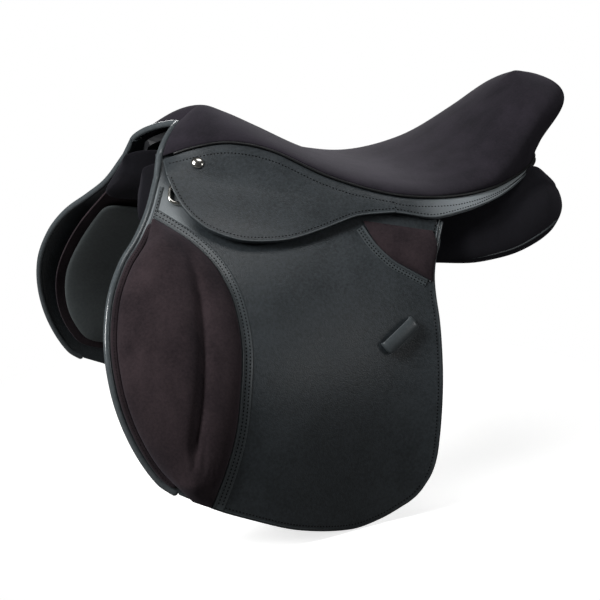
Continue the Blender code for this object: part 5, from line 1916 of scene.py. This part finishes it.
@dataclass
class GirthPart:
    """Under the flap: webs, girth straps with their holes, the buckle guard and the lining."""

    strap_x: Pair = (-0.104, -0.046)
    strap_width: float = 0.025
    strap_end: float = -0.236
    hole_radius: float = 0.0026
    hole_pitch: float = 0.025
    holes: int = 6
    first_hole: float = 0.030
    strap_out: float = -0.0056
    punch_depth: float = 0.016
    stitch_in: float = 0.0032
    stitch_end: float = 0.018
    guard_gap: float = 0.006

    def holed(self, strap: bpy.types.Object, x: float) -> None:
        """Punch the row of buckle holes through a strap.

        Args:
            strap: the strap.
            x: its middle along the saddle.
        """
        cutters = []
        for index in range(self.holes):
            z = self.strap_end + self.first_hole + index * self.hole_pitch
            out = SIDE.normal(x, z)
            bpy.ops.object.select_all(action="DESELECT")
            bpy.ops.mesh.primitive_cylinder_add(vertices=16, radius=self.hole_radius, depth=self.punch_depth,
                                                location=SIDE.point(x, z, self.strap_out - 0.0018),
                                                rotation=out.to_track_quat("Z", "Y").to_euler())
            cutters.append(bpy.context.active_object)
        punch = joined("punch", cutters)
        only(punch)
        bpy.ops.object.transform_apply(location=True, rotation=True, scale=True)
        apply(strap, "BOOLEAN", operation="DIFFERENCE", solver="EXACT", object=punch)
        bpy.data.objects.remove(punch)

    def build(self, finishes: Finishes) -> list[Piece]:
        """The pieces under the flap.

        Args:
            finishes: the materials.

        Returns:
            The pieces.
        """
        guard = refined("guard_leather_off", "buckle_guard_off", bevel=0.0006)
        below_guard = min(vertex.co.z for vertex in guard.data.vertices) - self.guard_gap
        pieces = []
        for name, x in zip(("front", "rear"), self.strap_x):
            web = refined(f"web_{name}_off", f"girth_web_{name}_off", levels=2)
            pieces.append(Piece(shade(web, finishes.webbing), "saddle", (f"girth_web_{name}_{{hand}}",),
                                f"girth_web_{name}_{{hand}}"))
            strap = refined(f"strap_{name}_off", f"girth_strap_{name}_off", bevel=0.0008, levels=1)
            self.holed(strap, x)
            pieces.append(Piece(shade(strap, finishes.inner), f"{name}_strap_{{hand}}",
                                (f"girth_strap_{name}_{{hand}}",), f"girth_strap_{name}_{{hand}}"))
            rows = []
            for edge in (-1.0, 1.0):
                at, end = x + edge * (self.strap_width / 2 - self.stitch_in), self.strap_end + self.stitch_end
                rows.append(SIDE.run_over([Vector((at, lerp(below_guard, end, i / 50))) for i in range(51)],
                                          self.strap_out))
            thread = Stitching().rows(f"strap_{name}_stitching_off", rows, finishes.thread)
            pieces.append(Piece(thread, f"{name}_strap_{{hand}}"))
        pieces.append(Piece(shade(guard, finishes.grained), "front_strap_{hand}", ("buckle_guard_{hand}",),
                            "buckle_guard_{hand}"))
        lining = refined("sweat_leather_off", "sweat_flap_off", bevel=0.0006)
        pieces.append(Piece(shade(lining, finishes.pads), "saddle", ("sweat_flap_{hand}",),
                            "sweat_flap_{hand}"))
        return pieces


@dataclass
class PanelPart:
    """The stuffed panels that lie along the back of the horse."""

    piping: float = 0.0013
    piping_turn: float = -0.34
    piping_x: Pair = (0.075, 0.221)
    ends: Pair = (-0.232, 0.246)
    valley: Pair = (0.42, 0.0045)
    out: float = -0.0155
    top_rise: float = 0.009
    foot_drop: float = 0.044
    channel: float = 0.036
    bulge: float = 0.006
    power: float = 4.5
    inner_foot: tuple[Pair, ...] = (
        (-0.232, 0.050), (-0.200, 0.038), (-0.150, 0.022), (-0.100, 0.010), (-0.040, 0.002),
        (0.030, 0.0), (0.100, 0.002), (0.160, 0.006), (0.200, 0.012), (0.243, 0.024),
    )
    # Height of the inner upper corner, which clears the lining of the tree
    inner_top: tuple[Pair, ...] = (
        (-0.232, 0.080), (-0.190, 0.079), (-0.150, 0.067), (-0.100, 0.055), (-0.050, 0.043), (0.000, 0.029),
        (0.050, 0.021), (0.100, 0.0265), (0.150, 0.035), (0.243, 0.040),
    )
    # Rear of the panel: x, half-width and z of the upper outer corner, then of the lower one
    rear: tuple[tuple[float, float, float, float, float], ...] = (
        (0.056, 0.134, 0.021, 0.1595, -0.035), (0.100, 0.131, 0.029, 0.160, -0.040),
        (0.133, 0.124, 0.036, 0.157, -0.039), (0.160, 0.114, 0.044, 0.152, -0.036),
        (0.190, 0.100, 0.057, 0.142, -0.029), (0.211, 0.092, 0.059, 0.131, -0.021),
        (0.229, 0.083, 0.047, 0.118, -0.010), (0.246, 0.073, 0.034, 0.102, 0.002),
    )
    # Size of the section at shares of the length
    ends_size: tuple[Pair, ...] = (
        (0.0, 0.55), (0.004, 0.72), (0.010, 0.82), (0.030, 0.95), (0.065, 1.0), (0.925, 1.0), (0.965, 0.95),
        (0.985, 0.86), (0.995, 0.72), (1.0, 0.56),
    )

    def section(self, x: float) -> tuple[Vector, ...]:
        """Inner foot, outer foot, outer top and inner top of the section, as (half-width, z)."""
        if x <= SIDE.fold_rear[0]:
            upper = SIDE.point(x, SIDE.fold_z(x) + self.top_rise, self.out).yz
            lower = SIDE.point(x, SIDE.fold_z(x) - self.foot_drop, self.out).yz
        else:
            values = [graph([(row[0], row[i]) for row in self.rear], x) for i in range(1, 5)]
            upper, lower = Vector(values[:2]), Vector(values[2:])
        foot, top = graph(self.inner_foot, x), graph(self.inner_top, x)
        return Vector((self.channel, foot)), lower, upper, Vector((self.channel + 0.003, top))

    def at(self, x: float, a: float, b: float) -> Vector:
        """Point of the cushion: a from -1 inside to 1 outside, b from -1 below to 1 above."""
        inner_foot, outer_foot, outer_top, inner_top = self.section(x)
        p, q = (1 + a) / 2, (1 + b) / 2
        spot = (inner_foot * (1 - p) * (1 - q) + outer_foot * p * (1 - q) + outer_top * p * q
                + inner_top * (1 - p) * q)
        swell = self.bulge * max(a, 0.0) * (1 - b * b) * ease((x - SIDE.fold_rear[0]) / 0.050)
        if x <= SIDE.fold_rear[0]:
            spot.x = min(spot.x, SIDE.half_width(x, spot.y) + self.out / SIDE.normal(x, spot.y).y)
        # The gusset stands as a roll of its own above a sewn valley
        dip = math.exp(-(((b - self.valley[0]) / 0.16) ** 2)) * max(a, 0.0) * ease((x - 0.075) / 0.06)
        swell -= self.valley[1] * dip
        nose = 1.0 - ease((x - self.ends[0]) / 0.060)
        return Vector((x - 0.42 * max(0.062 - spot.y, 0.0) * nose, spot.x + swell, spot.y))

    def round_section(self, turn: float) -> Pair:
        """Place on the rounded section at a turn about its middle."""
        c, s = math.cos(turn), math.sin(turn)
        return math.copysign(abs(c) ** (2 / self.power), c), math.copysign(abs(s) ** (2 / self.power), s)

    def build(self, finishes: Finishes) -> list[Piece]:
        """The panel cushions and their piping.

        Args:
            finishes: the materials.

        Returns:
            The pieces.
        """
        def skin(u: float, v: float) -> Vector:
            """Point of the cushion's cover, round its section and along it."""
            # Rows stand closer together towards the ends, where the cushion rounds off
            along = v - 0.8 * math.sin(2 * math.pi * v) / (2 * math.pi)
            size = graph(self.ends_size, along)
            a, b = self.round_section(2 * math.pi * u)
            return self.at(lerp(*self.ends, along), a * size, b * size)

        cushion = surface("panel_cushion_off", 88, 120, skin, (0.0, 1.0, 0.0))
        with editing(cushion):
            bpy.ops.mesh.remove_doubles(threshold=1e-5)
            bpy.ops.mesh.select_all(action="DESELECT")
            bpy.ops.mesh.select_non_manifold()
            bpy.ops.mesh.edge_face_add()
            bpy.ops.mesh.select_all(action="SELECT")
            bpy.ops.mesh.normals_make_consistent(inside=False)
        shade(cushion, finishes.panels, 80.0)
        lower = refined("panel_leaf_off", "panel_lower_off", levels=2)
        shade(lower, finishes.leaf, 80.0)
        points = []
        for i in range(21):
            x = lerp(*self.piping_x, i / 20)
            corner = self.at(x, *self.round_section(self.piping_turn))
            across = corner - self.at(x, 0.0, 0.0)
            across.x = 0.0
            points.append(corner - across.normalized() * self.piping * 0.55)
        roll = shade(cord("panel_piping_roll_off", points, self.piping, 100, 10), finishes.smooth, 60.0)
        return [Piece(cushion, "saddle", ("panel_{hand}",), "panel_{hand}", 0.8),
                Piece(lower, "saddle", ("panel_lower_{hand}",), "panel_lower_{hand}", 0.6),
                Piece(roll, "saddle", ("panel_piping_{hand}",), "panel_piping_{hand}")]


@dataclass
class HardwarePart:
    """Metal fittings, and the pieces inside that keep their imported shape."""

    wire: float = 0.0019
    width: float = 0.030
    depth: float = 0.020
    place: float = -0.196
    drop: float = 0.006
    lean: float = 0.12
    out: float = FLAP_THICK + 0.0003 + 0.0008 + 0.0002 + 0.0016

    def dee(self, finishes: Finishes) -> Piece:
        """The ring: a straight bar in its chape, and a squarish bow.

        Args:
            finishes: the materials.

        Returns:
            The piece.
        """
        z = SIDE.fold_z(self.place) - self.drop
        axes, base = SIDE.axes(self.place, z), SIDE.point(self.place, z, self.out)
        half, depth = self.width / 2, self.depth
        bow = ((half - 0.004, 0.0), (half - 0.0012, -0.0012), (half, -0.004), (half, -depth * 0.60),
               (half * 0.96, -depth * 0.78), (half * 0.86, -depth * 0.91), (half * 0.68, -depth * 0.98),
               (half * 0.30, -depth))
        back = [(-a, w) for a, w in reversed(bow)]
        loop = [(0.0, 0.0), (0.006, 0.0), *bow, *back, (-0.006, 0.0), (0.0, 0.0)]
        points = [base + axes[0] * a + axes[1] * w - axes[2] * w * self.lean for a, w in loop]
        ring = shade(cord("dee_wire_off", points, self.wire, 160, 16), finishes.nickel, 60.0)
        return Piece(ring, "dee_{hand}", ("d_ring_{hand}",), "d_ring_{hand}")

    def build(self, frame: dict, finishes: Finishes) -> list[Piece]:
        """Refine the ring and its chape, and give the rest of the nodes their finishes.

        Args:
            frame: the loaded frame.
            finishes: the materials.

        Returns:
            The pieces.
        """
        chape = refined("chape_leather_off", "d_ring_chape_off", bevel=0.0002, levels=1)
        kept = {"tree": finishes.tree, "gullet_plate": finishes.steel, "gullet_lining": finishes.black,
                "seat_webbing": finishes.webbing}
        for hand in Hand:
            kept[f"stirrup_bar_{hand.value}"] = finishes.steel
            kept[f"stirrup_catch_{hand.value}"] = finishes.steel
        for name, finish in kept.items():
            mesh = frame["nodes"][name].data
            mesh.materials.clear()
            mesh.materials.append(finish)
            log.info("%s: packed shape, %s", name, finish.name)
        return [self.dee(finishes),
                Piece(shade(chape, finishes.smooth), "lifting_flap_{hand}", ("d_ring_chape_{hand}",),
                      "d_ring_chape_{hand}")]


@dataclass
class Studio:
    """Pale floor, soft lamps and the camera at the photograph's angle."""

    azimuth: float = -20.0
    elevation: float = 15.5
    distance: float = 1.6
    target: tuple[float, float, float] = (-0.040, 0.0, -0.100)
    lens: float = 83.5
    floor_z: float = -0.2845

    def lamp(self, name: str, spot: Sequence[float], aim: Sequence[float], size: Pair, watts: float) -> None:
        """Soft rectangular lamp.

        Args:
            name: its name.
            spot: where it is.
            aim: the point that it faces.
            size: its width and height.
            watts: its power.
        """
        data = bpy.data.lights.new(name, "AREA")
        data.shape = "RECTANGLE"
        data.size, data.size_y = size
        data.energy = watts
        obj = bpy.data.objects.new(name, data)
        obj.location = spot
        obj.rotation_euler = (Vector(spot) - Vector(aim)).to_track_quat("Z", "Y").to_euler()
        bpy.context.scene.collection.objects.link(obj)

    def build(self) -> None:
        """Build the studio."""
        scene = bpy.context.scene
        scene.view_settings.view_transform = "Standard"
        a, e = math.radians(self.azimuth), math.radians(self.elevation)
        back = Vector((math.sin(a) * math.cos(e), -math.cos(a) * math.cos(e), math.sin(e)))
        data = bpy.data.cameras.new("camera")
        data.lens, data.sensor_width = self.lens, 36.0
        camera = bpy.data.objects.new("camera", data)
        camera.location = Vector(self.target) + back * self.distance
        camera.rotation_euler = back.to_track_quat("Z", "Y").to_euler()
        scene.collection.objects.link(camera)
        scene.camera = camera

        self.lamp("overhead", (0.02, -0.26, 1.00), (0.02, -0.05, 0.0), (0.7, 0.3), 2.8)
        self.lamp("front strip", (-1.70, -0.52, 1.06), (-0.05, 0.0, 0.0), (0.4, 1.0), 38.0)
        self.lamp("off side", (0.45, 1.55, 0.42), (0.0, 0.08, -0.05), (0.9, 0.6), 9.0)
        self.lamp("rear fill", (1.0, -1.1, 0.45), (0.12, -0.1, 0.02), (0.4, 0.5), 3.0)

        bpy.ops.object.select_all(action="DESELECT")
        bpy.ops.mesh.primitive_plane_add(size=12.0, location=(0.0, 0.0, self.floor_z))
        floor = bpy.context.active_object
        floor.name = floor.data.name = "floor"
        floor.data.materials.append(self.paper())
        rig.stage(floor)

        world = bpy.data.worlds.new("studio")
        world.use_nodes = True
        tree = world.node_tree
        tree.nodes.clear()
        rays = add(tree, "ShaderNodeLightPath")
        seen = add(tree, "ShaderNodeMath", {"operation": "MAXIMUM"},
                   {0: rays.outputs["Is Camera Ray"], 1: rays.outputs["Is Transmission Ray"]})
        dim = add(tree, "ShaderNodeBackground", {"Color": (1.0, 1.0, 1.0, 1.0), "Strength": 0.05})
        white = add(tree, "ShaderNodeBackground", {"Color": (1.0, 1.0, 1.0, 1.0), "Strength": 1.0})
        shown = add(tree, "ShaderNodeMixShader", links={0: seen.outputs[0], 1: dim.outputs[0],
                                                        2: white.outputs[0]})
        add(tree, "ShaderNodeOutputWorld", links={"Surface": shown.outputs[0]})
        scene.world = world

    def paper(self) -> bpy.types.Material:
        """White backdrop paper.

        The camera sees it white, with the saddle's shadow where it is near. The light that
        falls on it comes back only weakly, as from a floor that is far below a product shot.
        """
        material = bpy.data.materials.new("backdrop paper")
        material.use_nodes = True
        tree = material.node_tree
        tree.nodes.clear()
        rays = add(tree, "ShaderNodeLightPath")
        place = add(tree, "ShaderNodeTexCoord").outputs["Object"]
        fibres = noise(tree, place, 400.0, 2.0)
        tint = add(tree, "ShaderNodeValToRGB", links={"Fac": fibres.outputs["Fac"]})
        for stop, colour in zip(tint.color_ramp.elements, ("#f1f1f0", "#f8f8f7")):
            stop.color = linear(colour)
        matt = add(tree, "ShaderNodeBsdfDiffuse", links={"Color": tint.outputs["Color"]})
        glow = add(tree, "ShaderNodeEmission", {"Color": (1.0, 1.0, 1.0, 1.0), "Strength": 0.72})
        lit = add(tree, "ShaderNodeAddShader", links={0: matt.outputs[0], 1: glow.outputs[0]})
        white = add(tree, "ShaderNodeEmission", {"Color": (1.0, 1.0, 1.0, 1.0), "Strength": 1.0})
        away = add(tree, "ShaderNodeVectorMath", {"operation": "LENGTH"}, {0: place})
        fade = {"From Min": 0.22, "From Max": 0.50, "interpolation_type": "SMOOTHSTEP"}
        far = add(tree, "ShaderNodeMapRange", fade, {"Value": away.outputs["Value"]})
        seen = add(tree, "ShaderNodeMixShader", links={0: far.outputs[0], 1: lit.outputs[0],
                                                       2: white.outputs[0]})
        grey = add(tree, "ShaderNodeBsdfDiffuse", {"Color": (0.15, 0.15, 0.15, 1.0)})
        shown = add(tree, "ShaderNodeMixShader", links={0: rays.outputs["Is Camera Ray"], 1: grey.outputs[0],
                                                        2: seen.outputs[0]})
        add(tree, "ShaderNodeOutputMaterial", links={"Surface": shown.outputs[0]})
        return material


def main() -> None:
    """Build the looks around the frame."""
    logging.basicConfig(level=logging.INFO, format="%(name)s: %(message)s")
    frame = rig.load()
    packed = [list(corner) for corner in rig.bounds()]
    Studio().build()
    finishes = Finishes()
    SeatPart().build(finishes)
    flap, pads = FlapPart(), PadsPart()
    fit_both([flap.leather(finishes), *flap.strips(finishes), *flap.stitches(finishes)])
    fit_both([*pads.knee(finishes), *pads.thigh(finishes)])
    fit_both(SkirtPart().build(finishes))
    fit_both(GirthPart().build(finishes))
    fit_both(PanelPart().build(finishes))
    fit_both(HardwarePart().build(frame, finishes))
    shown = [list(corner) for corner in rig.bounds()]
    with open("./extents.json", "w", encoding="utf-8") as out:
        json.dump({"packed": packed, "shown": shown}, out)


if __name__ == "__main__":
    main()
